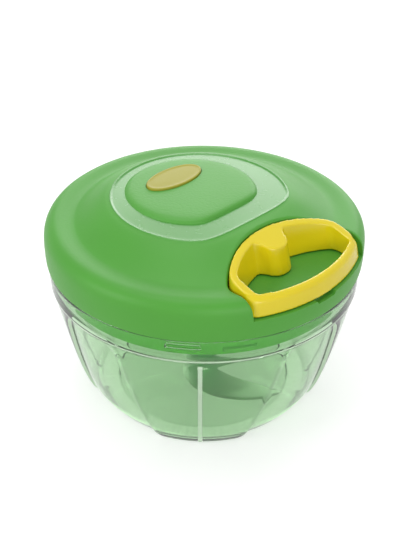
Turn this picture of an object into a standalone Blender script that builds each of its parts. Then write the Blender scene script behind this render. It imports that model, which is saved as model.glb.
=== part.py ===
"""Pull-cord food chopper: clear bowl, loose blade stem, bayonet lid with a sprung cord reel.

Metres, +Z up. The origin is the centre of the bowl's foot, on the surface that it stands on.
The front is -Y. The handle pulls out level, along PULL_ANGLE.
"""
import math

import bmesh
import bpy
from mathutils import Matrix, Vector

MM = 0.001

# Clearances
SEAT = 0.3 * MM
RUN = 0.3 * MM
HANDLE_PLAY = 0.9 * MM
LUG_PLAY = 0.4 * MM

# Facets
ROUND = 48
MEDIUM_STEPS = 28
SMALL_ROUND = 24
TINY_ROUND = 12
TURN_STEPS = 24
ARC_STEPS = 10
HALF_ARC_STEPS = 6
CORNER_STEPS = 3
FILLET_STEPS = 4
SHOULDER_STEPS = 6
SECTOR_STEPS = 5
SPAN_STEPS = 4
MERGE = 0.00001
FLAT_ANGLE = math.radians(0.2)
SMOOTH_ANGLE = math.radians(35.0)
SOFTEN_ANGLE = math.radians(50.0)

# Bowl
FOOT_R = 46.3 * MM
FOOT_CHAMFER = 0.8 * MM
FOOT_RIM_H = 2.4 * MM
FOOT_RING_W = 8.3 * MM
FOOT_RECESS = 0.8 * MM
FLOOR_T = 2.4 * MM
FLOOR_FILLET = 5.0 * MM
WALL_T = 2.6 * MM
WALL_H = 54.8 * MM
WALL_TOP_R = 63.7 * MM
WALL_BULGE = 0.6
WALL_RINGS = 7
WALL_RING_BIAS = 1.5
BAND_PROUD = 0.5 * MM
BAND_H = 10.2 * MM
BAND_LEDGE = 0.8 * MM
WINDOWS = 4
WINDOW_DEPTH = 1.2 * MM
WINDOW_HALF_W = 15.3 * MM
WINDOW_TOP_Z = 57.3 * MM
WINDOW_TOP_R = 13.7 * MM
WINDOW_FOOT_FLARE = 4.5 * MM
PANEL_ANGLE = math.radians(-91.0)
RIB_W = 1.6 * MM
RIB_PROUD = 0.5 * MM
RIB_STOP = 1.2 * MM
PIN_R = 1.9 * MM
PIN_H = 10.0 * MM
PIN_SINK = 3.2 * MM
PIN_BOSS_R = 6.0 * MM
PIN_BOSS_H = 2.9 * MM

# Bayonet
LUGS = 4
LUG_REACH = 1.2 * MM
LUG_H = 1.4 * MM
LUG_SPAN = math.radians(12.0)
LUG_DROP = 3.6 * MM
LOCK_TURN = math.radians(20.0)
BOWL_LUG_ANGLE = math.radians(-97.0)
SKIRT_T = 2.0 * MM
SKIRT_DROP = 8.6 * MM

# Seal
SEAL_T = 0.8 * MM
SEAL_W = 2.2 * MM

# Lid
LID_OVERHANG = 0.8 * MM
LID_SWELL = 0.4 * MM
LID_T = 2.0 * MM
LID_SIDE_H = 13.0 * MM
SHOULDER_SET_IN = 5.2 * MM
SHOULDER_RISE = 3.4 * MM
VALLEY_SET_IN = 12.2 * MM
VALLEY_RISE = 2.9 * MM
CREST_RISE = 11.2 * MM
CREST_LIP = 0.4 * MM
CREST_LIP_W = 1.2 * MM
PLATEAU_R = 36.2 * MM
PLATEAU_BACK = 3.0 * MM
PLATEAU_FLAT = 25.9 * MM
DOME_R = 27.0 * MM
DOME_BACK = 8.0 * MM
DOME_FLAT = 15.0 * MM
DOME_RISE = 2.0 * MM
FLAT_CORNER = 14
FLAT_LIMIT = 0.05
LID_SIDE_ROUND = 2.0 * MM
LID_SIDE_DRAFT = 0.1 * MM
LID_SIDE_FULL = 0.45
BASE_T = 2.0 * MM
# Shares of the way from crest to valley, and of the drop there
SLOPE_SHARES = ((0.03, 0.0), (0.3, 0.22), (0.6, 0.58), (0.83, 0.88))
# Shares of the dome's outline, and of its rise there
DOME_SHARES = ((0.45, 0.96), (0.8, 0.86), (0.94, 0.62), (1.0, 0.0))
INNER_BEND = 0.7

# Handle
PULL_ANGLE = math.radians(-45.0)
BAR_SET_IN = 0.8 * MM
BAR_T = 4.2 * MM
BAR_H = 7.3 * MM
LOOP_SHORTER = 2.4 * MM
ARC_WIDER = 11.8 * MM
LOOP_NOSE = 30.6 * MM
LOOP_T = 4.5 * MM
NOSE_T = 6.6 * MM
NOSE_H = 13.9 * MM
BAR_CORNER_R = 5.0 * MM
NOSE_CORNER_R = 8.0 * MM
WINDOW_BAR_CORNER_R = 2.0 * MM
WINDOW_NOSE_CORNER_R = 5.0 * MM
HANDLE_RISE = 8.4 * MM
BAR_LEVEL_W = 8.2 * MM
EDGE_R = 0.9 * MM
BOSS_W = 12.4 * MM
BOSS_REACH = 14.4 * MM
BOSS_CORNER_R = 4.0 * MM
BOSS_FILLET_R = 6.0 * MM
# How far each face leans in for each unit of height
BAR_LEAN = 0.2
ARM_LEAN = 0.12
NOSE_LEAN = 0.27
POCKET_WALL = 1.8 * MM
POCKET_FLOOR = 2.0 * MM
NOTCH_W = 9.0 * MM
NOTCH_DEPTH = 1.4 * MM
NOTCH_REACH = 4.0 * MM
OVERRUN = 3.6 * MM

# Cord
CORD_R = 0.75 * MM
CORD_PITCH = 1.95 * MM
CORD_TURNS = 3.4
CORD_HEIGHT = 5.4 * MM
KNOT_R = 2.4 * MM
LEAD_SHARE = 0.7
GUIDE_BORE_R = 1.2 * MM
GUIDE_BARREL_T = 1.2 * MM
GUIDE_FLANGE_R = 3.8 * MM
GUIDE_FLANGE_T = 1.2 * MM
GUIDE_MOUTH_R = 2.2 * MM

# Reel
DRUM_R = 19.2 * MM
DRUM_T = 2.2 * MM
DRUM_FLOOR_T = 2.4 * MM
FLANGE_R = 22.5 * MM
FLANGE_T = 1.2 * MM
TOP_FLANGE_T = 1.0 * MM
DRUM_W = 8.8 * MM
HUB_R = 6.0 * MM
HUB_DROP = 4.4 * MM
SPIGOT_W = 5.0 * MM
SPIGOT_H = 1.8 * MM
AXLE_R = 2.0 * MM
AXLE_SINK = 3.4 * MM
AXLE_CLIMB = 4.0 * MM
ARBOR_R = 4.5 * MM
ARBOR_KEY = 0.5 * MM
LID_BOSS_R = 5.5 * MM
COVER_T = 0.8 * MM
COVER_LAP = 0.6 * MM
SPRING_T = 0.4 * MM
SPRING_H = 6.6 * MM
SPRING_COILS = 5
SPRING_STEPS = 16
BUSH_T = 1.7 * MM
BUSH_FLANGE_R = 9.6 * MM
BUSH_FLANGE_T = 1.2 * MM

# Drive dogs
DOGS = 3
DOG_SPAN = math.radians(30.0)
DOG_R = 8.4 * MM
DOG_LAP = 3.2 * MM
COUPLER_WALL = 2.0 * MM
COUPLER_DISC_T = 2.2 * MM
COUPLER_DROP = 8.0 * MM

# Blade stem
STEM_R = 8.0 * MM
STEM_NECK_R = 5.0 * MM
STEM_CORE_R = 5.2 * MM
STEM_HUB_H = 32.4 * MM
STEM_FLARE = 2.0 * MM
PIVOT_BUSH_T = 1.2 * MM
PIVOT_BUSH_H = 8.0 * MM
BLADES = 3
BLADE_T = 0.8 * MM
BLADE_TIP_R = 43.5 * MM
BLADE_RING_W = 2.6 * MM
BLADE_FIRST_Z = 11.0 * MM
BLADE_STEP = 12.0 * MM
BLADE_TIP_ANGLE = math.radians(-40.0)
BLADE_SWEEP = math.radians(108.0)
BLADE_BACK_SWEEP = math.radians(34.0)

# Screws
BASE_SCREWS = 3
SCREW_SKIRT_GAP = 5.2 * MM
SCREW_R = 1.3 * MM
SCREW_HEAD_R = 2.8 * MM
SCREW_HEAD_H = 1.6 * MM
SCREW_LENGTH = 9.6 * MM
SCREW_BOSS_R = 3.8 * MM
SCREW_SLOT_W = 0.7 * MM
SCREW_SLOT_DEPTH = 0.7 * MM
DRIVE_SCREW_R = 1.2 * MM
DRIVE_SCREW_HEAD_R = 2.6 * MM
DRIVE_SCREW_HEAD_H = 1.4 * MM
DRIVE_SCREW_LENGTH = 4.4 * MM

# Oval insert
OVAL_HALF_L = 14.0 * MM
OVAL_HALF_W = 7.0 * MM
OVAL_BACK = 18.0 * MM
OVAL_SINK = 1.2 * MM
OVAL_T = 1.6 * MM
OVAL_EDGE = 0.4 * MM

# Heights, worked out from the sizes above
FOOT_RING_R = FOOT_R - FOOT_RING_W
BAND_R = WALL_TOP_R + BAND_PROUD
RIM_Z = WALL_H + BAND_H
RIM_IN_R = BAND_R - WALL_T
LID_EDGE_R = BAND_R + LID_OVERHANG
LID_MAX_R = LID_EDGE_R + LID_SWELL
SHOULDER_R = LID_MAX_R - SHOULDER_SET_IN
VALLEY_R = LID_MAX_R - VALLEY_SET_IN
LID_EDGE_Z = RIM_Z + SEAT
BASE_Z = LID_EDGE_Z + SEAL_T + SEAT
BASE_TOP_Z = BASE_Z + BASE_T
SKIRT_R = RIM_IN_R - LUG_REACH - LUG_PLAY
SCREW_CIRCLE_R = SKIRT_R - SKIRT_T - SCREW_HEAD_R - SCREW_SKIRT_GAP
BUSH_TOP_Z = BASE_TOP_Z + SEAT + BUSH_FLANGE_T
REEL_Z = BUSH_TOP_Z + SEAT
DRUM_Z = REEL_Z + FLANGE_T
REEL_TOP_Z = DRUM_Z + DRUM_W + TOP_FLANGE_T
COVER_Z = REEL_TOP_Z + SEAT
LID_BOSS_Z = COVER_Z + COVER_T + SEAT
HUB_Z = REEL_Z - HUB_DROP
COUPLER_TOP_Z = HUB_Z - SEAT
COUPLER_CEILING_Z = COUPLER_TOP_Z - COUPLER_DISC_T
COUPLER_Z = COUPLER_TOP_Z - COUPLER_DROP
STEM_TOP_Z = COUPLER_CEILING_Z - 2 * SEAT - DRIVE_SCREW_HEAD_H - SEAT
HANDLE_Z = LID_EDGE_Z + HANDLE_RISE
RECESS_Z = HANDLE_Z - SEAT
CORD_Z = HANDLE_Z + CORD_HEIGHT
VALLEY_Z = LID_EDGE_Z + LID_SIDE_H + VALLEY_RISE
CREST_Z = VALLEY_Z + CREST_RISE - VALLEY_RISE
DOME_Z = CREST_Z - CREST_LIP + DOME_RISE
CEILING_Z = CREST_Z - CREST_LIP - LID_T
PIN_BOSS_Z = FLOOR_T + FOOT_RECESS + PIN_BOSS_H
STEM_Z = PIN_BOSS_Z + SEAT
BAR_R = LID_EDGE_R - BAR_SET_IN
LOOP_HALF_W = BAR_R - LOOP_NOSE - LOOP_SHORTER
LOOP_ARC_R = LOOP_HALF_W + ARC_WIDER
WIND_R = DRUM_R + SEAT + CORD_R
AXLE_TOP_Z = LID_BOSS_Z + AXLE_CLIMB
BORE_R = AXLE_R + SEAT
DRUM_FLOOR_Z = REEL_Z + DRUM_FLOOR_T
PULL = Matrix.Rotation(PULL_ANGLE, 4, "Z")


def clear_scene():
    for old in list(bpy.data.objects):
        bpy.data.objects.remove(old, do_unlink=True)


def make_collection(name):
    collection = bpy.data.collections.new(name)
    bpy.context.scene.collection.children.link(collection)
    return collection


def make_material(name, colour, roughness, metallic=0.0, alpha=1.0):
    material = bpy.data.materials.new(name)
    material.use_nodes = True
    shader = material.node_tree.nodes["Principled BSDF"]
    shader.inputs["Base Color"].default_value = (*colour, 1.0)
    shader.inputs["Roughness"].default_value = roughness
    shader.inputs["Metallic"].default_value = metallic
    shader.inputs["Alpha"].default_value = alpha
    material.diffuse_color = (*colour, alpha)
    return material


clear_scene()
PARTS = make_collection("pull_cord_chopper")
CUTTERS = make_collection("cutters")

LID_GREEN = make_material("lid_green", (0.13, 0.47, 0.08), 0.42)
BASE_GREEN = make_material("base_green", (0.11, 0.42, 0.07), 0.4)
CLEAR_GREEN = make_material("clear_green", (0.55, 0.82, 0.52), 0.06, alpha=0.35)
YELLOW = make_material("handle_yellow", (0.80, 0.66, 0.03), 0.35)
PALE_YELLOW = make_material("pale_yellow", (0.82, 0.76, 0.30), 0.4)
STEM_GREEN = make_material("stem_green", (0.10, 0.40, 0.12), 0.4)
STEEL = make_material("blade_steel", (0.66, 0.67, 0.68), 0.2, 1.0)
SPRING_STEEL = make_material("spring_steel", (0.40, 0.41, 0.43), 0.3, 1.0)
SCREW_STEEL = make_material("screw_steel", (0.56, 0.57, 0.58), 0.3, 1.0)
BRASS = make_material("bush_brass", (0.72, 0.52, 0.22), 0.3, 1.0)
WHITE = make_material("reel_white", (0.82, 0.82, 0.80), 0.45)
GREY = make_material("grey_acetal", (0.45, 0.46, 0.47), 0.4)
SILICONE = make_material("silicone", (0.78, 0.80, 0.78), 0.6)
CORD_WHITE = make_material("cord_white", (0.83, 0.83, 0.79), 0.8)


def add_object(name, mesh, material=None, cutter=False):
    piece = bpy.data.objects.new(name, mesh)
    (CUTTERS if cutter else PARTS).objects.link(piece)
    if material:
        mesh.materials.append(material)
    if cutter:
        piece.hide_render = True
        piece.display_type = "WIRE"
    return piece


def shade(mesh):
    mesh.shade_smooth()
    mesh.set_sharp_from_angle(angle=SMOOTH_ANGLE)


def polar(radius, angle):
    return (radius * math.cos(angle), radius * math.sin(angle))


def arc(centre, radius, start, end, steps):
    """Points along an arc, both ends included."""
    sweep = end - start
    return [
        (centre[0] + radius * math.cos(start + sweep * i / steps),
         centre[1] + radius * math.sin(start + sweep * i / steps))
        for i in range(steps + 1)
    ]


def turned(name, profile, material=None, steps=ROUND, closed=False, cutter=False):
    """A turned piece: the profile runs down its outer side, and its hollow's side back up."""
    mesh = bpy.data.meshes.new(name)
    count = len(profile)
    edges = [(i, (i + 1) % count) for i in range(count if closed else count - 1)]
    off_axis = [(a, b) for a, b in edges if max(profile[a][0], profile[b][0]) > MERGE]
    mesh.from_pydata([(r, 0.0, z) for r, z in profile], off_axis, [])
    piece = add_object(name, mesh, material, cutter)
    screw = piece.modifiers.new("turn", "SCREW")
    screw.axis = "Z"
    screw.steps = steps
    screw.render_steps = steps
    screw.use_merge_vertices = True
    screw.merge_threshold = MERGE
    screw.use_smooth_shade = True
    return piece


def slab(name, outline, low, high, material=None, cutter=False):
    """A flat outline extruded from low to high."""
    curve = bpy.data.curves.new(name, "CURVE")
    curve.dimensions = "2D"
    curve.fill_mode = "BOTH"
    curve.extrude = (high - low) / 2
    spline = curve.splines.new("POLY")
    spline.points.add(len(outline[1:]))
    for point, (x, y) in zip(spline.points, outline):
        point.co = (x, y, 0.0, 1.0)
    spline.use_cyclic_u = True
    guide = bpy.data.objects.new(name + "_outline", curve)
    CUTTERS.objects.link(guide)
    guide.location.z = (high + low) / 2
    bpy.context.view_layer.update()
    evaluated = guide.evaluated_get(bpy.context.evaluated_depsgraph_get())
    mesh = bpy.data.meshes.new_from_object(evaluated)
    mesh.transform(guide.matrix_world)
    bpy.data.objects.remove(guide, do_unlink=True)
    weld(mesh)
    mesh.name = name
    return add_object(name, mesh, material, cutter)


def weld(mesh):
    work = bmesh.new()
    work.from_mesh(mesh)
    bmesh.ops.remove_doubles(work, verts=work.verts, dist=MERGE)
    bmesh.ops.dissolve_limit(work, angle_limit=FLAT_ANGLE, verts=work.verts, edges=work.edges)
    bmesh.ops.recalc_face_normals(work, faces=work.faces)
    work.to_mesh(mesh)
    work.free()


def cylinder(name, radius, low, high, centre=(0.0, 0.0), material=None, steps=SMALL_ROUND,
             cutter=False):
    """An upright cylinder."""
    work = bmesh.new()
    bmesh.ops.create_cone(work, cap_ends=True, segments=steps, radius1=radius, radius2=radius,
                          depth=high - low)
    bmesh.ops.translate(work, vec=(centre[0], centre[1], (high + low) / 2), verts=work.verts)
    mesh = bpy.data.meshes.new(name)
    work.to_mesh(mesh)
    work.free()
    return add_object(name, mesh, material, cutter)


def box(name, low, high, material=None, cutter=False):
    """A box between two corners."""
    work = bmesh.new()
    bmesh.ops.create_cube(work, size=1.0)
    size = [b - a for a, b in zip(low, high)]
    middle = [(a + b) / 2 for a, b in zip(low, high)]
    bmesh.ops.scale(work, vec=size, verts=work.verts)
    bmesh.ops.translate(work, vec=middle, verts=work.verts)
    mesh = bpy.data.meshes.new(name)
    work.to_mesh(mesh)
    work.free()
    return add_object(name, mesh, material, cutter)


def pull_rod(name, radius, start, end, steps=TINY_ROUND):
    """A cutter along the pull direction at the cord's height."""
    rod = cylinder(name, radius, start, end, steps=steps, cutter=True)
    rod.data.transform(Matrix.Rotation(math.pi / 2, 4, "Y"))
    rod.data.transform(Matrix.Translation((0.0, 0.0, CORD_Z)))
    rod.data.transform(PULL)
    return rod


def combine(piece, other, operation):
    step = piece.modifiers.new(other.name, "BOOLEAN")
    step.solver = "EXACT"
    step.operation = operation
    step.object = other


def cut(piece, *others):
    for other in others:
        combine(piece, other, "DIFFERENCE")


def join(piece, *others):
    for other in others:
        combine(piece, other, "UNION")


def keep_inside(piece, other):
    combine(piece, other, "INTERSECT")


def soften(piece, width, segments=2):
    """Round the sharp edges."""
    bevel = piece.modifiers.new("soften", "BEVEL")
    bevel.width = width
    bevel.segments = segments
    bevel.limit_method = "ANGLE"
    bevel.angle_limit = SOFTEN_ANGLE
    bevel.miter_outer = "MITER_ARC"


def sector(inner, outer, middle, span, steps=SECTOR_STEPS):
    """A ring sector's outline."""
    half = span / 2
    return (arc((0.0, 0.0), outer, middle - half, middle + half, steps)
            + arc((0.0, 0.0), inner, middle + half, middle - half, steps))


def loft(name, rings, material=None, cutter=False):
    """A body through rings of like point counts, closed by a point at each end."""
    work = bmesh.new()
    loops = [[work.verts.new(point) for point in ring] for ring in rings]
    for upper, lower in zip(loops, loops[1:]):
        if len(upper) == 1 or len(lower) == 1:
            tip, ring = (upper[0], lower) if len(upper) == 1 else (lower[0], upper)
            for i, vert in enumerate(ring):
                work.faces.new((tip, vert, ring[(i + 1) % len(ring)]))
            continue
        for i, vert in enumerate(upper):
            j = (i + 1) % len(upper)
            work.faces.new((vert, lower[i], lower[j], upper[j]))
    bmesh.ops.recalc_face_normals(work, faces=work.faces)
    mesh = bpy.data.meshes.new(name)
    work.to_mesh(mesh)
    work.free()
    shade(mesh)
    return add_object(name, mesh, material, cutter)


def wall_radius(height):
    """The bowl's outer radius, full near the foot and steep under the band."""
    share = max(0.0, min(1.0, height / WALL_H))
    return FOOT_R + (WALL_TOP_R - FOOT_R) * share ** WALL_BULGE


def wall_heights():
    return [WALL_H * (i / WALL_RINGS) ** WALL_RING_BIAS for i in range(WALL_RINGS, 0, -1)]


def bowl_profile():
    """Down the outside, under the foot, and back up inside to the rim."""
    outside = [(BAND_R - BAND_LEDGE / 2, RIM_Z), (BAND_R, RIM_Z - BAND_LEDGE / 2),
               (BAND_R, WALL_H + BAND_LEDGE)]
    outside += [(wall_radius(z), z) for z in wall_heights()]
    outside += [(FOOT_R, FOOT_CHAMFER), (FOOT_R - FOOT_CHAMFER, 0.0)]
    foot = [(FOOT_RING_R, 0.0), (FOOT_RING_R - FOOT_RECESS, FOOT_RECESS), (0.0, FOOT_RECESS)]
    floor_z = FOOT_RECESS + FLOOR_T
    fillet_z = floor_z + FLOOR_FILLET
    fillet_r = wall_radius(fillet_z) - WALL_T
    corner = arc((fillet_r - FLOOR_FILLET, fillet_z), FLOOR_FILLET, -math.pi / 2, 0.0,
                 FILLET_STEPS)
    inside = [(wall_radius(z) - WALL_T, z) for z in reversed(wall_heights())
              if z > fillet_z + FOOT_CHAMFER]
    lip = [(RIM_IN_R, WALL_H + BAND_LEDGE), (RIM_IN_R, RIM_Z)]
    return outside + foot + [(0.0, floor_z)] + corner + inside + lip


def wall_shell(name, outer_offset, inner_offset, low, high):
    """A closed ring that follows the bowl's wall between two offsets."""
    between = [z for z in wall_heights() + [0.0] if low + FOOT_CHAMFER < z < high - FOOT_CHAMFER]
    heights = [high] + between + [low]
    outside = [(wall_radius(z) + outer_offset, z) for z in heights]
    inside = [(wall_radius(z) + inner_offset, z) for z in reversed(heights)]
    return turned(name, outside + inside, closed=True, cutter=True)


def window_outline():
    """An arch seen from outside, x across and y up."""
    half = WINDOW_HALF_W
    foot = half + WINDOW_FOOT_FLARE
    shoulder = WINDOW_TOP_Z - WINDOW_TOP_R
    right = arc((half - WINDOW_TOP_R, shoulder), WINDOW_TOP_R, 0.0, math.pi / 2,
                SHOULDER_STEPS)
    left = arc((WINDOW_TOP_R - half, shoulder), WINDOW_TOP_R, math.pi / 2, math.pi,
               SHOULDER_STEPS)
    return [(-foot, 0.0), (foot, 0.0)] + right + left


def make_bowl():
    bowl = turned("bowl", bowl_profile(), CLEAR_GREEN, closed=True)
    recess = wall_shell("window_depth", WALL_T, -WINDOW_DEPTH, FOOT_RIM_H,
                        WALL_H - BAND_LEDGE / 2)
    for i in range(WINDOWS):
        angle = PANEL_ANGLE + math.pi / WINDOWS + 2 * math.pi * i / WINDOWS
        window = slab("window_%d" % i, window_outline(), FOOT_RING_R - FLOOR_FILLET,
                      LID_MAX_R, cutter=True)
        window.data.transform(Matrix.Rotation(math.pi / 2, 4, "X"))
        window.data.transform(Matrix.Rotation(angle + math.pi / 2, 4, "Z"))
        keep_inside(window, recess)
        cut(bowl, window)
    rib_top = WALL_H - RIB_STOP
    rib_band = wall_shell("rib_band", RIB_PROUD, -WALL_T / 2, 0.0, rib_top)
    for i in range(WINDOWS):
        rib = box("rib_%d" % i, (FOOT_RING_R, -RIB_W / 2, FOOT_RIM_H),
                  (LID_MAX_R, RIB_W / 2, rib_top - BAND_LEDGE), cutter=True)
        rib.data.transform(Matrix.Rotation(PANEL_ANGLE + 2 * math.pi * i / WINDOWS, 4, "Z"))
        keep_inside(rib, rib_band)
        join(bowl, rib)
    boss = cylinder("pin_boss", PIN_BOSS_R, FOOT_RECESS + FLOOR_T / 2, PIN_BOSS_Z, cutter=True)
    join(bowl, boss)
    for i in range(LUGS):
        angle = BOWL_LUG_ANGLE + 2 * math.pi * i / LUGS
        outline = sector(SKIRT_R + LUG_PLAY, RIM_IN_R + WALL_T / 2, angle, LUG_SPAN)
        lug = slab("bowl_lug_%d" % i, outline, RIM_Z - LUG_DROP - LUG_H, RIM_Z - LUG_DROP,
                   cutter=True)
        join(bowl, lug)
    cut(bowl, cylinder("pin_seat", PIN_R + SEAT, PIN_BOSS_Z - PIN_SINK, PIN_BOSS_Z + PIN_H,
                       cutter=True))
    return bowl


def make_bowl_pin():
    low = PIN_BOSS_Z - PIN_SINK + SEAT
    top = PIN_BOSS_Z + PIN_H
    profile = [(0.0, top), (PIN_R / 2, top), (PIN_R, top - PIN_R / 2), (PIN_R, low), (0.0, low)]
    return turned("bowl_pin", profile, STEEL, SMALL_ROUND)


def make_seal():
    inner = SKIRT_R + SEAT
    outer = inner + SEAL_W
    low = RIM_Z + SEAT
    high = low + SEAL_T
    profile = [(outer, high), (outer, low), (inner, low), (inner, high)]
    return turned("lid_seal", profile, SILICONE, closed=True)


def flat_cut_radius(angle, radius, back, flat):
    """Polar radius of a circle set back from the axis, with a soft-cornered flat."""
    off = angle - PULL_ANGLE
    circle = -back * math.cos(off) + math.sqrt(radius ** 2 - (back * math.sin(off)) ** 2)
    if math.cos(off) < FLAT_LIMIT:
        return circle
    line = flat / math.cos(off)
    return (circle ** -FLAT_CORNER + line ** -FLAT_CORNER) ** (-1.0 / FLAT_CORNER)


def plateau(angle):
    return flat_cut_radius(angle, PLATEAU_R, PLATEAU_BACK, PLATEAU_FLAT)


def dome(angle):
    return flat_cut_radius(angle, DOME_R, DOME_BACK, DOME_FLAT)


def ring(radius_at, height):
    angles = [2 * math.pi * i / ROUND for i in range(ROUND)]
    return [(*polar(radius_at(a), a), height) for a in angles]


def circle_ring(radius, height):
    return ring(lambda angle: radius, height)


def slope_ring(share, height, inset=0.0):
    """A ring between the plateau's outline and the valley."""
    return ring(lambda a: plateau(a) * (1 - share) + VALLEY_R * share - inset, height)


def lid_rings(offset_in, offset_down):
    """The lid's surface from the crest out and down to its edge, or the one inside it."""
    side = LID_EDGE_Z + LID_SIDE_H
    round_r = LID_SIDE_ROUND
    flat_z = CREST_Z - CREST_LIP - offset_down
    drop = CREST_Z - CREST_LIP - VALLEY_Z
    rings = [slope_ring(0.0, CREST_Z - offset_down, offset_in + CREST_LIP / 2)]
    rings += [slope_ring(out, flat_z - down * drop, offset_in) for out, down in SLOPE_SHARES]
    rings += [
        circle_ring(VALLEY_R - offset_in / 2, VALLEY_Z - offset_down),
        circle_ring(SHOULDER_R - offset_in / 2, side + SHOULDER_RISE - offset_down),
        circle_ring(LID_MAX_R - round_r - offset_in, side + round_r - offset_down * INNER_BEND),
        circle_ring(LID_MAX_R - round_r * (1 - INNER_BEND) - offset_in, side - offset_down / 2),
        circle_ring(LID_MAX_R - LID_SIDE_DRAFT - offset_in, side - round_r),
        circle_ring(LID_MAX_R - offset_in, LID_EDGE_Z + LID_SIDE_H * LID_SIDE_FULL),
        circle_ring(LID_EDGE_R - offset_in, LID_EDGE_Z),
    ]
    return rings


def dome_rings():
    """The raised dome from its middle down to the flat ring round it."""
    ring_z = CREST_Z - CREST_LIP
    rings = [ring(lambda a, s=share: dome(a) * s, ring_z + DOME_RISE * rise)
             for share, rise in DOME_SHARES]
    return rings + [ring(lambda a: plateau(a) - CREST_LIP_W, ring_z)]


def mirrored(half_outline):
    """A whole outline from its half on the side of positive y."""
    return half_outline + [(x, -y) for x, y in reversed(half_outline) if y > MERGE]


def tangent_corner(centre_x, circle_r, side_y, corner_r, towards):
    """The centre of a corner between a circle and a side, and its angle at the circle."""
    reach = circle_r - corner_r
    height = side_y - corner_r
    along = math.sqrt(reach ** 2 - height ** 2)
    return (centre_x + towards * along, height), math.atan2(height, towards * along)


def nose_half(nose, arc_r, side_y, corner_r):
    """From the side round the corner and along the nose's arc to the middle."""
    centre_x = nose + arc_r
    centre, angle = tangent_corner(centre_x, arc_r, side_y, corner_r, -1.0)
    return (arc(centre, corner_r, math.pi / 2, angle, CORNER_STEPS)
            + arc((centre_x, 0.0), arc_r, angle, math.pi, HALF_ARC_STEPS)[1:])


def loop_outline(bar, half, nose, bar_corner, nose_corner):
    """A loop's plan, x along the pull: the bar along the rim, two sides and the nose's arc."""
    centre, angle = tangent_corner(0.0, bar, half, bar_corner, 1.0)
    along_bar = arc((0.0, 0.0), bar, 0.0, angle, HALF_ARC_STEPS)
    corner = arc(centre, bar_corner, angle, math.pi / 2, CORNER_STEPS)[1:]
    return mirrored(along_bar + corner + nose_half(nose, LOOP_ARC_R, half, nose_corner))


def handle_outer(rise):
    """The handle's outer plan at a height above its foot."""
    return loop_outline(BAR_R - BAR_LEAN * rise, LOOP_HALF_W - ARM_LEAN * rise, LOOP_NOSE,
                        BAR_CORNER_R, NOSE_CORNER_R)


def handle_inner(rise):
    """The finger opening's plan at a height above the handle's foot."""
    return loop_outline(BAR_R - BAR_T, LOOP_HALF_W - LOOP_T,
                        LOOP_NOSE + NOSE_T - NOSE_LEAN * rise,
                        WINDOW_BAR_CORNER_R, WINDOW_NOSE_CORNER_R)


def pocket_outline(grow):
    """The lid's pocket for the handle, with straight sides that run out past the rim."""
    half = LOOP_HALF_W + grow
    side = [(LID_MAX_R + OVERRUN, half)]
    return mirrored(side + nose_half(LOOP_NOSE - grow, LOOP_ARC_R + grow, half,
                                     NOSE_CORNER_R + grow))


def boss_outline(rise):
    """The cord boss's plan at a height above the handle's foot, with a fillet to each side."""
    shift = NOSE_LEAN * rise
    front = LOOP_NOSE + BOSS_REACH - shift
    corner_x = front - BOSS_CORNER_R
    corner_y = BOSS_W / 2 - BOSS_CORNER_R
    fillet_x = LOOP_NOSE + NOSE_T - shift + BOSS_FILLET_R
    across = fillet_x - corner_x
    fillet_y = corner_y + math.sqrt((BOSS_CORNER_R + BOSS_FILLET_R) ** 2 - across ** 2)
    angle = math.atan2(fillet_y - corner_y, across)
    return mirrored(arc((corner_x, corner_y), BOSS_CORNER_R, 0.0, angle, CORNER_STEPS)
                    + arc((fillet_x, fillet_y), BOSS_FILLET_R, angle - math.pi, -math.pi,
                          FILLET_STEPS)[1:]
                    + [(LOOP_NOSE + EDGE_R, corner_y)])


def upright_loft(name, outline_at, low, high, material=None, cutter=False):
    """A body between an outline's shapes at two heights above the handle's foot."""
    rings = [[(x, y, HANDLE_Z + rise) for x, y in outline_at(rise)] for rise in (high, low)]
    work = bmesh.new()
    upper, lower = [[work.verts.new(point) for point in ring] for ring in rings]
    work.faces.new(upper)
    work.faces.new(lower)
    for i, vert in enumerate(upper):
        j = (i + 1) % len(upper)
        work.faces.new((vert, lower[i], lower[j], upper[j]))
    bmesh.ops.recalc_face_normals(work, faces=work.faces)
    mesh = bpy.data.meshes.new(name)
    work.to_mesh(mesh)
    work.free()
    return add_object(name, mesh, material, cutter)


def lid_solid(inset):
    """The space inside the lid's skin, for trimming what stands in it."""
    rings = [[(0.0, 0.0, CREST_Z - CREST_LIP - inset)]] + lid_rings(inset, inset)
    return loft("lid_space", rings + [[(0.0, 0.0, LID_EDGE_Z)]], cutter=True)


def screw_places():
    """Where the base screws stand, clear of the handle's pocket."""
    first = PULL_ANGLE + math.pi / BASE_SCREWS
    return [polar(SCREW_CIRCLE_R, first + 2 * math.pi * i / BASE_SCREWS)
            for i in range(BASE_SCREWS)]


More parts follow.
